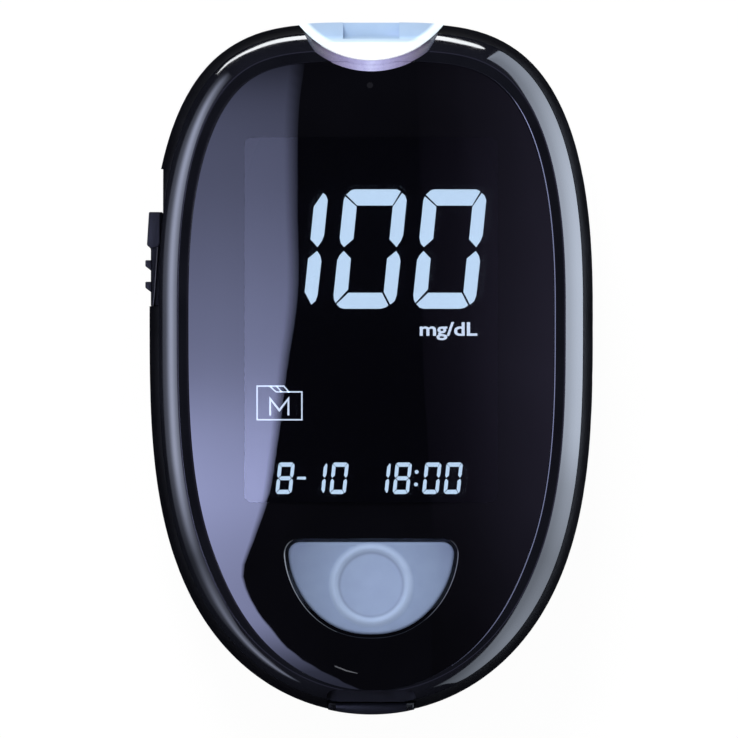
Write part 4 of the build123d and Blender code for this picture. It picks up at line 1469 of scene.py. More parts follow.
@dataclass
class MainButton:
    """Half-moon key that follows the dome, with a soft ring round the thumb rest."""

    moon: HalfMoon
    dome: DomeTop
    press: Point2 = (0.0, -30.05)
    below_dome: float = 0.2
    low_z: float = 20.9
    ring_radius: float = 5.1
    ring_outer: float = 0.85
    ring_inner: float = 0.75
    ring_rise: float = 0.3
    dish: float = 0.1
    edge_round: float = 0.45
    flange_reach: float = 0.9
    flange_z: Point2 = (20.1, 20.9)
    spacing: float = 0.28
    round_steps: int = 6

    def height(self, x: float, y: float) -> float:
        """Height of the key's top over a point.

        Args:
            x: place across the face.
            y: place along the face.

        Returns:
            The height.
        """
        reach = hypot(x - self.press[0], y - self.press[1])
        ahead = reach - self.ring_radius
        across = ahead / (self.ring_outer if ahead > 0 else self.ring_inner)
        bump = self.ring_rise * (0.5 + 0.5 * cos(pi * across)) if abs(across) < 1 else 0.0
        dish = self.dish * max(0.0, 1 - (reach / self.ring_radius) ** 2)
        return self.dome.height(x, y) - self.below_dome - dish + bump

    def build(self) -> None:
        """Builds the key as one closed solid."""
        draft = MeshDraft()
        loop = self.moon.loop(0.0)
        rows = draft.round_edge(loop, self.edge_round, self.round_steps, self.height)
        rows.append(draft.level(loop, self.low_z))
        for high, low in zip(rows, rows[1:]):
            draft.bridge(high, low)
        draft.plate([rows[0]], self.spacing, self.height)
        draft.plate([rows[-1]], None, self.height)
        flange = drawn_in(loop, loop_normals(loop), -self.flange_reach)
        low, high = (draft.level(flange, z) for z in self.flange_z)
        draft.bridge(low, high)
        draft.plate([low], None, self.height)
        draft.plate([high], None, self.height)
        key = draft.build("main_key", [dressed(Finish.BUTTON)], 50)
        place(key, "button", "button_plastic", "main_button")


@dataclass
class PortLightGuide:
    """Milky light guide in the port, white along its rim and paler blue on its lip."""

    edge_round: float = 0.22

    def build(self) -> None:
        """Builds a softened copy of the guide."""
        body = copied_solid("port_light_guide", "port_light_pipe", dressed(Finish.PIPE_GLOW))
        softened(body, self.edge_round)
        place(body, CASE, "light_guide", "port_light_guide")


# ------------ the display


@dataclass
class SegmentDisplay:
    """Lit digits and signs on the display glass, and the line round its window."""

    glass_z: float = 20.9
    film: Point2 = (0.005, 0.03)
    slant: float = 0.105
    reading: tuple[tuple[str, float], ...] = (("1", -16.14), ("0", -5.31), ("0", 5.62))
    reading_cell: Point3 = (8.18, 16.5, 8.6)
    small_row: tuple[tuple[str, float], ...] = (
        ("8", -13.15), ("1", -8.65), ("0", -5.74), ("1", 0.04), ("8", 2.92), ("0", 6.97), ("0", 9.9))
    small_cell: Point3 = (-17.41, 4.36, 2.23)
    dash: Path = ((-10.2, -15.38), (-10.1, -15.02), (-9.0, -15.02), (-8.92, -15.2), (-9.0, -15.42))
    dots: Path = ((6.23, -14.36), (6.14, -16.08))
    dot_radius: float = 0.27
    folder: Path = (
        (-15.65, -2.5), (-11.98, -2.5), (-11.3, -3.3), (-9.5, -3.3), (-9.5, -7.15), (-15.65, -7.15))
    folder_line: float = 0.19
    tabs: tuple[Path, ...] = (
        ((-13.85, -2.55), (-13.05, -3.3), (-11.3, -3.3)), ((-12.95, -2.55), (-12.3, -3.28)))
    tab_line: float = 0.17
    letter: Path = ((-13.85, -6.55), (-13.85, -4.25), (-12.6, -5.85), (-11.35, -4.25), (-11.35, -6.55))
    letter_line: float = 0.28
    unit: str = "mg/dL"
    unit_corners: tuple[Point2, Point2] = ((6.65, 3.85), (14.55, 6.35))
    frame_line: float = 0.1
    frame_half: float = 17.5
    frame_ends: Point2 = (-18.6, 31.98)
    frame_corner: float = 1.0
    cell: Point2 = (373.0, 715.0)
    strokes: dict[str, Path] = field(default_factory=lambda: {
        "a": ((10, 683), (36, 709), (54, 715), (309, 715), (333, 703), (292, 618), (82, 618)),
        "f": ((5, 673), (80, 611), (81, 418), (30, 369), (9, 391), (-2, 426), (-2, 651)),
        "b": ((341, 693), (360, 679), (373, 651), (374, 441), (364, 406), (342, 369), (295, 416), (294, 611)),
        "e": ((31, 346), (78, 301), (81, 116), (15, 34), (3, 56), (-2, 81), (-2, 291), (10, 321)),
        "c": ((342, 346), (363, 319), (374, 286), (373, 81), (364, 46), (341, 25), (294, 101), (293, 301)),
        "d": ((21, 28), (43, 7), (67, 0), (284, 0), (313, 7), (330, 21), (284, 96), (85, 96)),
        "g": ((42, 357), (86, 402), (287, 402), (331, 357), (287, 313), (86, 313)),
    })
    lit: dict[str, str] = field(default_factory=lambda: {"0": "abcdef", "1": "bc", "8": "abcdefg"})

    def slab(self, draft: MeshDraft, outline: Outline) -> None:
        """Adds one thin closed slab on the glass."""
        low_z, high_z = (self.glass_z + depth for depth in self.film)
        draft.slab(outline, low_z, high_z)

    def digit(self, draft: MeshDraft, sign: str, left: float, cell: Point3) -> None:
        """Adds the lit strokes of one digit.

        Args:
            draft: the mesh they go into.
            sign: the digit.
            left: X of the cell's lower left corner.
            cell: Y of the cell's foot, then its height and width.
        """
        base, height, width = cell
        for stroke in self.lit[sign]:
            outline = []
            for u, v in self.strokes[stroke]:
                y = v * height / self.cell[1]
                outline.append((left + u * width / self.cell[0] + self.slant * y, base + y))
            self.slab(draft, outline)

    def ribbon(self, draft: MeshDraft, path: Outline, width: float, closed: bool = False) -> None:
        """Adds a line of even width along a path, with mitred corners.

        Args:
            draft: the mesh it goes into.
            path: the line's points.
            width: its width.
            closed: whether it ends where it starts.
        """
        count = len(path)
        left, right = [], []
        for i, (x, y) in enumerate(path):
            before = path[i - 1] if closed or i else path[i]
            after = path[(i + 1) % count] if closed or i < count - 1 else path[i]
            headings = [Vector((b[0] - a[0], b[1] - a[1])) for a, b in ((before, (x, y)), ((x, y), after))]
            headings = [h.normalized() for h in headings if h.length > 0]
            heading = sum(headings, Vector((0, 0))).normalized()
            spread = width / 2 / max(0.4, heading.dot(headings[0]))
            left.append((x - heading.y * spread, y + heading.x * spread))
            right.append((x + heading.y * spread, y - heading.x * spread))
        for i in range(count if closed else count - 1):
            j = (i + 1) % count
            self.slab(draft, [right[i], right[j], left[j], left[i]])

    def build_digits(self) -> None:
        """Builds the reading and the two small rows of digits."""
        draft = MeshDraft()
        for signs, cell in ((self.reading, self.reading_cell), (self.small_row, self.small_cell)):
            for sign, left in signs:
                self.digit(draft, sign, left, cell)
        self.slab(draft, self.dash)
        for x, y in self.dots:
            self.slab(draft, arc_points(x, y, self.dot_radius, [i * pi / 8 for i in range(16)]))
        digits = draft.build("lit_digits", [dressed(Finish.LIT_DIGITS)])
        place(digits, CASE, "light_panel")

    def build_signs(self) -> None:
        """Builds the memory sign and the unit under the reading."""
        draft = MeshDraft()
        self.ribbon(draft, self.folder, self.folder_line, closed=True)
        for tab in self.tabs:
            self.ribbon(draft, tab, self.tab_line)
        self.ribbon(draft, self.letter, self.letter_line)
        signs = draft.build("lit_memory_sign", [dressed(Finish.LIT_SIGNS)])
        place(signs, CASE, "light_panel")
        text = bpy.data.curves.new("lit_unit", "FONT")
        text.body = self.unit
        text.size = 1.0
        text.offset = 0.02
        text.extrude = 0.01
        maker = linked("unit_maker", text)
        bpy.context.view_layer.update()
        mesh = bpy.data.meshes.new_from_object(maker.evaluated_get(bpy.context.evaluated_depsgraph_get()))
        bpy.data.objects.remove(maker)
        points = np.array([v.co for v in mesh.vertices])
        low, high = points.min(0), points.max(0)
        first, last = (np.array((*corner, self.glass_z + depth))
                       for corner, depth in zip(self.unit_corners, self.film))
        for vertex, point in zip(mesh.vertices, points):
            vertex.co = Vector(first + (point - low) / (high - low) * (last - first)) * MM
        unit = finish_object("lit_unit", mesh, [dressed(Finish.LIT_SIGNS)], 30)
        place(unit, CASE, "light_panel")

    def build_window_line(self) -> None:
        """Builds the thin line of the print's edge round the display."""
        draft = MeshDraft()
        path = round_rectangle(self.frame_half, *self.frame_ends, self.frame_corner)
        self.ribbon(draft, path, self.frame_line, closed=True)
        line = draft.build("window_line", [dressed(Finish.WINDOW_LINE)])
        place(line, CASE, "lcd")


# ------------ case, knob, flap, screws


class GeometryTree:
    """Geometry Nodes tree with named inputs, run once on an object."""

    def __init__(self, name: str) -> None:
        """Starts the tree with its geometry input and output.

        Args:
            name: the tree's name.
        """
        self.group = bpy.data.node_groups.new(name, "GeometryNodeTree")
        for way in ("OUTPUT", "INPUT"):
            self.group.interface.new_socket("Geometry", in_out=way, socket_type="NodeSocketGeometry")
        self.source = self.group.nodes.new("NodeGroupInput")
        self.sink = self.group.nodes.new("NodeGroupOutput")
        self.values: dict[str, object] = {}

    def size(self, name: str, value: float | int | Material, kind: str = "NodeSocketFloat") -> Socket:
        """Adds a named input, remembers its value and returns its socket inside the tree."""
        item = self.group.interface.new_socket(name, in_out="INPUT", socket_type=kind)
        self.values[item.identifier] = value
        return next(s for s in self.source.outputs if s.identifier == item.identifier)

    def add(self, kind: str, links: dict[str, Socket] | None = None, **values: object) -> bpy.types.Node:
        """Adds a node, sets its values and links its inputs by name.

        Args:
            kind: the node's type.
            links: sockets for its inputs, by name.
            values: what is set, by name.

        Returns:
            The node.
        """
        node = new_node(self.group, kind, values)
        for key, socket in (links or {}).items():
            self.group.links.new(socket, node.inputs[key])
        return node

    def finish(self, geometry: Socket, material: Socket) -> None:
        """Ends the tree in real geometry with its material."""
        real = self.add("GeometryNodeRealizeInstances", {"Geometry": geometry})
        painted = self.add("GeometryNodeSetMaterial", {"Geometry": real.outputs[0], "Material": material})
        self.group.links.new(painted.outputs[0], self.sink.inputs[0])

    def run(self, name: str, points: Sequence[Point3], finish: Material) -> Piece:
        """Runs the tree on a cloud of points.

        Args:
            name: name of the piece.
            points: where the copies go, in millimetres.
            finish: the piece's material.

        Returns:
            The piece with a plain mesh.
        """
        mesh = bpy.data.meshes.new(name)
        mesh.from_pydata([[c * MM for c in p] for p in points], [], [])
        obj = linked(name, mesh)
        modifier = obj.modifiers.new("layout", "NODES")
        modifier.node_group = self.group
        for identifier, value in self.values.items():
            modifier[identifier] = value
        dress_mesh(baked(obj).data, [finish])
        return obj


@dataclass
class CaseScrews:
    """Cross-recessed pan-head screws in the wells of the back."""

    spots: Path = ((14.0, 38.5), (-14.0, 38.5), (16.2, -26.5), (-16.2, -26.5))
    seat_z: float = 6.0
    head_radius: float = 1.9
    head_height: float = 1.4
    shank_radius: float = 0.98
    shank_length: float = 12.0
    slot_width: float = 0.5
    slot_turn: float = 0.4
    crown_share: float = 0.72

    def build(self) -> None:
        """Builds every screw from one laid-out tree."""
        tree = GeometryTree("screw_layout")
        head_radius = tree.size("Head Radius", self.head_radius * MM)
        head_height = tree.size("Head Height", self.head_height * MM)
        shank_radius = tree.size("Shank Radius", self.shank_radius * MM)
        shank_length = tree.size("Shank Length", self.shank_length * MM)
        slot_width = tree.size("Slot Width", self.slot_width * MM)
        material = tree.size("Finish", dressed(Finish.BLACK_SCREW), "NodeSocketMaterial")
        crown = tree.add("ShaderNodeMath", {"Value": head_radius}, operation="MULTIPLY")
        crown.inputs[1].default_value = self.crown_share
        head = tree.add("GeometryNodeMeshCone", {"Radius Bottom": head_radius, "Radius Top": crown.outputs[0],
                                                 "Depth": head_height}, Vertices=40)
        flip = tree.add("GeometryNodeTransform", {"Geometry": head.outputs[0]}, Rotation=(pi, 0, 0))
        cut = tree.add("GeometryNodeMeshBoolean", {"Mesh 1": flip.outputs[0]}, operation="DIFFERENCE")
        for turn in (self.slot_turn, self.slot_turn + pi / 2):
            size = tree.add("ShaderNodeCombineXYZ",
                            {"X": crown.outputs[0], "Y": slot_width, "Z": head_height})
            bar = tree.add("GeometryNodeMeshCube", {"Size": size.outputs[0]})
            arm = tree.add("GeometryNodeTransform", {"Geometry": bar.outputs[0]}, Rotation=(0, 0, turn),
                           Translation=(0, 0, -self.head_height * 1.5 * MM), Scale=(1.5, 1, 1))
            tree.group.links.new(arm.outputs[0], cut.inputs["Mesh 2"])
        shank = tree.add("GeometryNodeMeshCylinder", {"Radius": shank_radius, "Depth": shank_length},
                         Vertices=24)
        raised = tree.add("GeometryNodeTransform", {"Geometry": shank.outputs[0]},
                          Translation=(0, 0, (self.head_height + self.shank_length) / 2 * MM))
        joined = tree.add("GeometryNodeJoinGeometry")
        for part in (cut, raised):
            tree.group.links.new(part.outputs[0], joined.inputs[0])
        copies = tree.add("GeometryNodeInstanceOnPoints",
                          {"Points": tree.source.outputs[0], "Instance": joined.outputs[0]})
        tree.finish(copies.outputs[0], material)
        z = self.seat_z - self.head_height / 2
        screws = tree.run("case_screw_set", [(x, y, z) for x, y in self.spots], dressed(Finish.BLACK_SCREW))
        place(screws, CASE, "screw_steel", "case_screws")


@dataclass
class EjectorKnob:
    """Ribbed thumb slider on the left side."""

    low_y: float = 8.56
    high_y: float = 21.7
    low_z: float = 5.2
    high_z: float = 14.9
    web_x: float = -29.02
    web_z: float = 13.6
    inner_edge: Path = ((-30.3, 8.56), (-30.12, 10.0), (-29.66, 16.8), (-29.36, 17.3), (-29.36, 21.7))
    plate_x: float = -30.66
    plate_z: float = 14.5
    block_outer: Point2 = (-31.2, -30.92)
    block_length: float = 4.6
    edge_width: float = 0.13
    rib_tops: Point2 = (12.0, 15.0)
    rib_root: float = 1.5
    rib_face: float = 0.85
    rib_x: float = -31.42
    rib_depth: float = 0.85
    block_lead: float = 0.5
    overlap: float = 0.3
    edge_sink: float = 0.1

    def build(self) -> None:
        """Builds the slider's sunk plate, block and lower inner web as one piece with rounded edges; the
        plate and web wear the darker case finish as painted shade.
        """
        draft = MeshDraft()
        block_y = self.high_y - self.block_length
        block = [(self.block_outer[1], self.high_y), (self.block_outer[0], block_y),
                 (self.plate_x, block_y - self.block_lead)]
        inner = self.inner_edge
        web = [(self.web_x, y) for _, y in inner]
        foot = (self.plate_x, self.low_y)
        # Web and plate (slot 1) wear the darker case finish: painted shade; the block keeps the paler knob
        # finish.
        draft.slab([*block, foot, *web], self.low_z, self.web_z, 1)
        draft.slab([*block, foot, *inner], self.web_z - self.overlap, self.plate_z, 1)
        draft.slab([*block, *inner[2:]], self.plate_z - self.overlap, self.high_z)
        knob = draft.build("thumb_slider", [dressed(Finish.KNOB_SATIN), dressed(Finish.CASE_SATIN)])
        softened(knob, 0.18, 4)
        # A thin strip of paler plastic along the plate's inner edge is a painted highlight.
        lip = [(x - self.edge_width, y) for x, y in reversed(inner[:3])]
        edge = MeshDraft()
        edge.slab([*inner[:3], *lip], self.plate_z - self.overlap, self.high_z - self.edge_sink)
        painted_edge_highlight = edge.build("thumb_slider_edge_highlight", [dressed(Finish.KNOB_EDGE_HIGHLIGHT)])
        place(softened(painted_edge_highlight, 0.03, 2), "ejector", "case_dark")
        place(knob, "ejector", "case_dark", "ejector_knob")

    def build_ribs(self) -> None:
        """Lays the ribs across the plate, each with a flat top, an upright face and a slanted foot."""
        tree = GeometryTree("rib_layout")
        root = tree.size("Rib Root", self.rib_root * MM)
        face = tree.size("Rib Face", self.rib_face * MM)
        depth = tree.size("Rib Depth", self.rib_depth * MM)
        length = tree.size("Rib Length", (self.high_z - self.low_z) * MM)
        material = tree.size("Finish", dressed(Finish.KNOB_SATIN), "NodeSocketMaterial")
        section = tree.add("GeometryNodeCurvePrimitiveQuadrilateral",
                           {"Bottom Width": root, "Top Width": face, "Height": depth}, mode="TRAPEZOID",
                           Offset=(self.rib_root - self.rib_face) / 2 * MM)
        turned = tree.add("GeometryNodeTransform", {"Geometry": section.outputs[0]},
                          Rotation=(0, 0, pi / 2))
        line = tree.add("GeometryNodeCurvePrimitiveLine", {"Length": length}, mode="DIRECTION",
                        Start=(0, 0, -(self.high_z - self.low_z) / 2 * MM), Direction=(0, 0, 1))
        rib = tree.add("GeometryNodeCurveToMesh", {
            "Curve": line.outputs[0], "Profile Curve": turned.outputs[0]}, Fill_Caps=True)
        copies = tree.add("GeometryNodeInstanceOnPoints",
                          {"Points": tree.source.outputs[0], "Instance": rib.outputs[0]})
        tree.finish(copies.outputs[0], material)
        x, z = self.rib_x + self.rib_depth / 2, (self.low_z + self.high_z) / 2
        spots = [(x, top - self.rib_root / 2, z) for top in self.rib_tops]
        ribs = tree.run("thumb_slider_ribs", spots, dressed(Finish.KNOB_SATIN))
        softened(ribs, 0.14, 3)
        place(ribs, "ejector", "case_dark")


@dataclass
class BackDetails:
    """Pieces on the back and at the bottom end that keep the solids' shapes."""

    flap_round: float = 0.22
    flap_corner: float = 1.1
    flap_corner_height: float = 1.0
    flap_face_half: float = 4.9
    door_round: float = 0.12

    def build(self) -> None:
        """Softens the flap and the battery door, and gives the back its finish; the flap's lowered shoulders
        wear the darker case finish as painted shade.
        """
        flap = copied_solid("data_port_cover", "data_flap", dressed(Finish.FLAP_SATIN))
        flap.data.materials.append(dressed(Finish.CASE_SATIN))
        with edited(flap.data) as shell:
            top = max(v.co.z for v in shell.verts)
            for side in (-1, 1):
                bmesh.ops.bisect_plane(shell, geom=[*shell.verts, *shell.edges, *shell.faces],
                                       plane_co=(side * self.flap_face_half * MM, 0, 0), plane_no=(1, 0, 0))
            # Faces beyond the flap's face wear the darker case finish: painted shade on its shoulders.
            for face in shell.faces:
                face.material_index = int(abs(face.calc_center_median().x) > self.flap_face_half * MM)
            for vertex in shell.verts:
                aside = abs(vertex.co.x) / MM - self.flap_face_half
                if aside > 0.01 and vertex.co.z > top - self.flap_corner_height * MM:
                    vertex.co.z -= self.flap_corner * MM
        place(softened(flap, self.flap_round), "port_flap", "case_dark", "data_port_cover")
        door = copied_solid("battery_door", "battery_hatch", dressed(Finish.CASE_SATIN))
        place(softened(door, self.door_round, 2), "door", "case_dark", "battery_door")


class InnerWorks:
    """Finishes of the solids that are kept as they are."""

    nodes: dict[Finish, tuple[str, ...]] = {
        Finish.CASE_SATIN: ("back_cover",),
        Finish.DISPLAY_GLASS: ("lcd_glass",),
        Finish.FRAME_WHITE: ("lcd_backlight", "lcd_frame"),
        Finish.GREY_RUBBER: ("lcd_connector", "set_button"),
        Finish.BOARD: ("main_board",),
        Finish.CHIP_EPOXY: ("processor_chip", "measuring_chip", "buzzer", "main_switch", "usb_tongue",
                            "set_switch"),
        Finish.PLATED_CERAMIC: ("board_components",),
        Finish.NICKEL: ("clock_crystal", "ejector_spring", "usb_socket", "battery_springs",
                        "battery_contacts", "board_screws"),
        Finish.CONNECTOR_CREAM: ("switch_plunger", "strip_connector"),
        Finish.GOLD_PLATE: ("strip_contacts",),
        Finish.DIODE: ("port_leds",),
        Finish.KNOB_SATIN: ("ejector_carriage",),
        Finish.SLEEVE_LEFT: ("battery_cell_1",),
        Finish.SLEEVE_RIGHT: ("battery_cell_2",),
    }

    def dress(self) -> None:
        """Puts each finish on its solid."""
        for finish, nodes in self.nodes.items():
            for node in nodes:
                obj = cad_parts[node]
                for slot in obj.material_slots:
                    slot.material = dressed(finish)
                if not obj.material_slots:
                    obj.data.materials.append(dressed(finish))
                LOG.info("%s wears %s", node, finish.value.name)


# ------------ the studio


@dataclass(frozen=True)
class CardLight(Dressing):
    """Light of a card, as strong as the card's own glow attribute says."""

    colour: Colour

    def lay_out(self, sketch: NodeSketch) -> None:
        """Lays out its nodes."""
        glow = sketch.add("ShaderNodeEmission", Color=(*self.colour, 1.0))
        level = sketch.add("ShaderNodeAttribute", attribute_name="glow")
        sketch.link(level.outputs["Fac"], glow.inputs["Strength"])
        sketch.link(glow.outputs[0], sketch.out.inputs["Surface"])


@dataclass(frozen=True)
class CurvedCard:
    """Card that stands round the meter, cut to an outline and graded along and across."""

    name: str
    colour: Colour
    strength: float
    stops: tuple[tuple[float, float, float, float], ...]
    across: Path


@dataclass
class Studio:
    """White table, soft light, the cards that the polish reflects, and the camera."""

    egg: EggOutline
    dome: DomeTop
    camera_height: float = 2850.0
    camera_target: Point2 = (-0.306, -0.139)
    target_z: float = 14.0
    frame_width: float = 102.68
    sensor: float = 36.0
    table_gap: float = 0.05
    table_half: float = 4000.0
    table_white: Point2 = (0.94, 1.02)
    surround_levels: Point2 = (0.62, 1.0)
    mat_inset: float = 8.0
    mat_z: float = 0.05
    mat_level: float = 0.014
    card_z: float = 1000.0
    card_radius: float = 600.0
    dark_radius: float = 625.0
    sky_radius: float = 1450.0
    sky: Path = (
        (0, 0.45), (16, 0.45), (25, 0.4), (35, 0.25), (45, 0.12), (55, 0.06), (75, 0.032), (90, 0.028))
    dark_wall: Path = ((0, 0.012), (190, 0.08))
    curved_cards: tuple[CurvedCard, ...] = (
        CurvedCard("right_card", (0.74, 0.83, 1.0), 5.7, (
            (-69, 90, 90, 0.1), (-65, 76, 96, 0.17), (-59, 0, 108, 0.26), (-53, 0, 120, 0.35),
            (-41, 0, 143, 0.46), (-22, 0, 172, 0.41), (-10, 0, 177, 0.7), (-5, 0, 175, 1.06),
            (3, 0, 173, 1.17), (13, 0, 174, 1.05), (26, 0, 168, 0.82), (37, 0, 154, 0.64),
            (51, 0, 131, 0.55), (61, 0, 126, 0.5), (66, 125, 125, 0.5)),
            ((0, 1), (0.39, 1), (0.59, 0.91), (0.79, 0.78), (1, 0.75))),
        CurvedCard("left_card", (0.685, 0.747, 1.0), 4.7, (
            (131, 70, 146, 0.05), (137, 70, 146, 0.45), (154, 70, 168, 0.95), (161, 62, 180, 1),
            (174, 50, 182, 1), (187, 50, 182, 1), (195, 52, 184, 0.55), (202, 55, 185, 0.22),
            (211, 60, 170, 0.38), (221, 75, 140, 0.5), (233, 80, 128, 0.62), (240, 85, 115, 0.5),
            (246, 90, 105, 0)),
            ((0, 0), (0.04, 0.13), (0.22, 0.2), (0.3, 0.37), (0.48, 0.97), (0.57, 1), (0.74, 0.6),
             (0.93, 0.35), (1, 0.32))),
        CurvedCard("top_strip", (0.95, 0.97, 1.0), 10.5, (
            (69, 58, 66, 1), (72, 52, 74, 1), (79, 48, 76, 1), (86, 35, 66, 1), (101, 34, 62, 1),
            (113, 42, 62, 1), (129, 36, 48, 1), (136, 46, 48, 1)), ((0, 1), (1, 1))),
    )
    left_light: tuple[tuple[float, float, float, float, float], ...] = (
        (50.0, -9.0, 0.3, 2.0, 1.0), (42.9, -9.2, 0.55, 2.0, 1.0), (37.3, -9.9, 1.7, 2.0, 1.0),
        (23.4, -10.2, 2.7, 1.8, 1.0), (9.5, -10.2, 4.0, 1.6, 1.0), (0.0, -11.6, 5.1, 1.4, 1.0),
        (-10.8, -13.0, 8.2, 1.2, 1.15), (-18.7, -14.4, 9.2, 1.0, 1.2), (-23.8, -16.2, 8.2, 0.7, 1.35),
        (-28.9, -17.7, 7.4, 0.4, 1.5), (-31.0, -17.1, 7.1, 0.3, 1.5), (-35.4, -14.5, 6.4, 0.3, 1.5),
        (-39.8, -10.3, 2.6, 0.3, 0.9), (-42.6, -5.7, 0.8, 0.3, 0.5), (-44.4, -1.8, 0.7, 0.3, 0.5),
        (-47.0, 3.0, 0.6, 0.3, 0.5))
    left_end: float = -31.0
    right_light: tuple[Point3, ...] = (
        (44.0, 6.4, 0.32), (0.0, 7.2, 0.5), (-20.0, 8.4, 0.4), (-34.0, 8.4, 0.2), (-46.0, 8.4, 0.1))
    glint: tuple[Path, ...] = (
        ((-5.1, -41.25), (-3.6, -41.85), (-1.9, -42.28)), ((-5.0, -41.45), (-3.6, -42.03), (-1.9, -42.36)))
    glint_level: float = 2.6
    right_end: float = 32.0
    right_shares: Path = ((0.0, 0.12), (0.2, 0.22), (0.5, 0.55), (0.75, 0.85), (1.0, 1.0))

    def build_camera(self) -> None:
        """Places the camera straight over the face with a long lens."""
        data = bpy.data.cameras.new("face_camera")
        data.sensor_width = self.sensor
        data.lens = self.sensor * (self.camera_height - self.target_z) / self.frame_width
        data.clip_start, data.clip_end = 0.01, 20.0
        camera = linked("face_camera", data)
        camera.location = (self.camera_target[0] * MM, self.camera_target[1] * MM, self.camera_height * MM)
        bpy.context.scene.camera = camera

    def emitter(self, name: str, grid: Sequence[Sequence[tuple[Point3, float]]], colour: Colour,
                lights_display: bool = False) -> None:
        """Makes a card that only shows in reflections.

        Args:
            name: the card's name.
            grid: rows of points in millimetres, each with its strength.
            colour: colour of its light.
            lights_display: whether it is also seen through the window.
        """
        wide = len(grid[0])
        mesh = bpy.data.meshes.new(name)
        faces = [(r * wide + c, r * wide + c + 1, (r + 1) * wide + c + 1, (r + 1) * wide + c)
                 for r in range(len(grid) - 1) for c in range(wide - 1)]
        mesh.from_pydata([[v * MM for v in point] for row in grid for point, _ in row], [], faces)
        glow = mesh.attributes.new("glow", "FLOAT", "POINT")
        glow.data.foreach_set("value", [level for row in grid for _, level in row])
        mesh.materials.append(CardLight(name, colour).material())
        card = linked(name, mesh)
        card.visible_camera = card.visible_diffuse = card.visible_shadow = card.visible_volume_scatter = False
        card.visible_transmission = lights_display

    def mirrored(self, x: float, y: float) -> Point3:
        """Where the plane of the overhead cards is seen in the window's polish at a point of the face.

        Args:
            x: place across the face.
            y: place along the face.

        Returns:
            The point of the plane.
        """
        z = self.dome.height(x, y)
        eye_x, eye_y = self.camera_target
        ray = Vector((x - eye_x, y - eye_y, z - self.camera_height)).normalized()
        normal = self.dome.normal(x, y)
        out = ray - 2 * ray.dot(normal) * normal
        reach = (self.card_z - z) / out.z
        return x + out.x * reach, y + out.y * reach, self.card_z

    def build_overhead(self) -> None:
        """Hangs the two cards whose images lie in the window along its sides."""
        grid = []
        for y, edge, level, fade, outer in eased_rows(self.left_light, 60):
            places = ((edge, 0.15), (edge - fade, 0.92), ((edge - fade + self.left_end) / 2, 1.02),
                      (self.left_end, outer))
            grid.append([(self.mirrored(x, y), level * share) for x, share in places])
        self.emitter("left_overhead", grid, (0.54, 0.59, 1.0))
        grid = [[(self.mirrored(edge + (self.right_end - edge) * at, y), level * share)
                 for at, share in self.right_shares] for y, edge, level in self.right_light]
        self.emitter("right_overhead", grid, (0.62, 0.56, 1.0))
        grid = [[(self.mirrored(x, y), self.glint_level) for x, y in row] for row in self.glint]
        self.emitter("low_glint", grid, (0.85, 0.88, 1.0))

    def build_curved(self, card: CurvedCard, steps: int = 90, rows: int = 24) -> None:
        """Stands one curved card at its azimuths.

        Args:
            card: its outline and grading.
            steps: faces along it.
            rows: faces up it.
        """
        turns, feet, heads, levels = zip(*card.stops)
        shares, grades = zip(*card.across)
        grid = []
        for i in range(steps + 1):
            turn = turns[0] + (turns[-1] - turns[0]) * i / steps
            foot, head, level = (float(np.interp(turn, turns, v)) for v in (feet, heads, levels))
            x, y = (self.card_radius * f(radians(turn)) for f in (cos, sin))
            grid.append([((x, y, foot + (head - foot) * j / rows),
                          card.strength * level * float(np.interp(j / rows, shares, grades)))
                         for j in range(rows + 1)])
        self.emitter(card.name, grid, card.colour)

    def build_surround(self) -> None:
        """Builds the dim sky, the dark wall under it and the dark mat that only gloss sees."""
        turns = [radians(5 * i) for i in range(73)]
        grid = []
        for elevation, level in self.sky:
            reach, z = (self.sky_radius * f(radians(elevation)) for f in (cos, sin))
            grid.append([((x, y, z), level) for x, y in arc_points(0.0, 0.0, reach, turns)])
        self.emitter("dim_sky", grid, (0.56, 0.56, 1.0), lights_display=True)
        outer = arc_points(0.0, 0.0, self.dark_radius, turns)
        grid = [[((x, y, z), level) for x, y in outer] for z, level in self.dark_wall]
        self.emitter("dark_wall", grid, (0.6, 0.6, 1.0))
        inner = [self.egg.point(turn, self.mat_inset) for turn in turns]
        grid = [[((x, y, self.mat_z), self.mat_level) for x, y in ring] for ring in (inner, outer)]
        self.emitter("dark_mat", grid, (0.6, 0.6, 1.0))

    def background(self, tree: bpy.types.NodeTree) -> Socket:
        """Adds the test for rays that should see plain white, from the camera, gloss or glass.

        Args:
            tree: the tree that needs the test.

        Returns:
            1 for such rays and 0 for others.
        """
        path = tree.nodes.new("ShaderNodeLightPath")
        seen = path.outputs["Is Camera Ray"]
        for kind in ("Is Glossy Ray", "Is Transmission Ray"):
            either = new_node(tree, "ShaderNodeMath", {"operation": "MAXIMUM"})
            tree.links.new(seen, either.inputs[0])
            tree.links.new(path.outputs[kind], either.inputs[1])
            seen = either.outputs[0]
        return seen

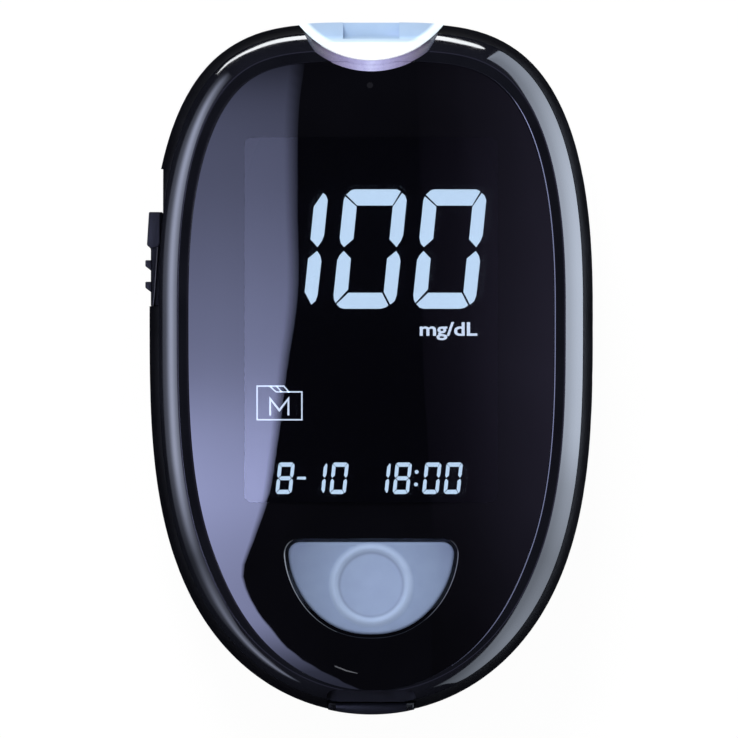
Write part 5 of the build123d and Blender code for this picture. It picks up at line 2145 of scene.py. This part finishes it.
    def build_floor(self) -> None:
        """Lays the white table, which keeps a faint shadow of the meter and is see-through from below."""
        mesh = bpy.data.meshes.new("table")
        half = self.table_half * MM
        corners = [(-half, -half), (half, -half), (half, half), (-half, half)]
        mesh.from_pydata([(x, y, -self.table_gap * MM) for x, y in corners], [], [(0, 1, 2, 3)])
        table = linked("table", mesh)
        sketch = NodeSketch("table_white")
        sketch.set(Roughness=0.8, Specular_IOR_Level=0.0)
        sketch.paint(sketch.noise(40.0), (0.3, (0.88, 0.88, 0.88)), (0.7, (0.9, 0.9, 0.9)))
        share, strength = self.table_white
        glow = sketch.add("ShaderNodeEmission", Color=(1, 1, 1, 1), Strength=strength)
        mix = sketch.add("ShaderNodeMixShader")
        sketch.link(sketch.math("MULTIPLY", self.background(sketch.tree), share), mix.inputs["Fac"])
        sketch.link(sketch.shader.outputs[0], mix.inputs[1])
        sketch.link(glow.outputs[0], mix.inputs[2])
        sides = sketch.add("ShaderNodeMixShader")
        sketch.link(sketch.add("ShaderNodeNewGeometry").outputs["Backfacing"], sides.inputs["Fac"])
        sketch.link(mix.outputs[0], sides.inputs[1])
        sketch.link(sketch.add("ShaderNodeBsdfTransparent").outputs[0], sides.inputs[2])
        sketch.link(sides.outputs[0], sketch.out.inputs["Surface"])
        mesh.materials.append(sketch.material)

    def build_world(self) -> None:
        """Sets an even white surround that is plain to look at and soft on the meter."""
        world = bpy.data.worlds.new("surround")
        world.use_nodes = True
        bpy.context.scene.world = world
        tree = world.node_tree
        tree.nodes.clear()
        low, high = self.surround_levels
        level = new_node(tree, "ShaderNodeMapRange", {"To_Min": low, "To_Max": high})
        tree.links.new(self.background(tree), level.inputs["Value"])
        back = new_node(tree, "ShaderNodeBackground", {"Color": (1, 1, 1, 1)})
        tree.links.new(level.outputs["Result"], back.inputs["Strength"])
        out = tree.nodes.new("ShaderNodeOutputWorld")
        tree.links.new(back.outputs[0], out.inputs["Surface"])

    def build_lamp(self, name: str, location: Point3, size: float, power: float) -> None:
        """Hangs one soft lamp that faces the meter and doesn't show in its polish.

        Args:
            name: the lamp's name.
            location: where it hangs.
            size: its width in metres.
            power: its power in watts.
        """
        data = bpy.data.lights.new(name, "AREA")
        data.shape = "DISK"
        data.size = size
        data.energy = power
        lamp = linked(name, data)
        lamp.location = Vector(location) * MM
        lamp.rotation_euler = (-Vector(location)).to_track_quat("-Z", "Y").to_euler()
        lamp.visible_glossy = lamp.visible_transmission = False

    def build(self) -> None:
        """Sets up the whole studio."""
        bpy.context.scene.view_settings.view_transform = "Standard"
        self.build_camera()
        self.build_world()
        self.build_floor()
        self.build_surround()
        self.build_overhead()
        for card in self.curved_cards:
            self.build_curved(card)
        self.build_lamp("soft_key", (-150, 700, 700), 0.35, 6.0)
        LOG.info("studio ready")


def main() -> None:
    """Builds every sub-assembly in order."""
    logging.basicConfig(level=logging.INFO, format="%(name)s: %(message)s")
    egg, dome, scoop, moon = EggOutline(), DomeTop(), PortScoop(), HalfMoon()
    Studio(egg, dome).build()
    FrontBezel(egg, scoop).build()
    window = DisplayWindow(egg, dome, scoop, moon)
    window.build()
    window.build_mask()
    MainButton(moon, dome).build()
    PortLightGuide().build()
    display = SegmentDisplay()
    display.build_digits()
    display.build_signs()
    display.build_window_line()
    CaseScrews().build()
    knob = EjectorKnob()
    knob.build()
    knob.build_ribs()
    BackDetails().build()
    InnerWorks().dress()


if __name__ == "__main__":
    main()
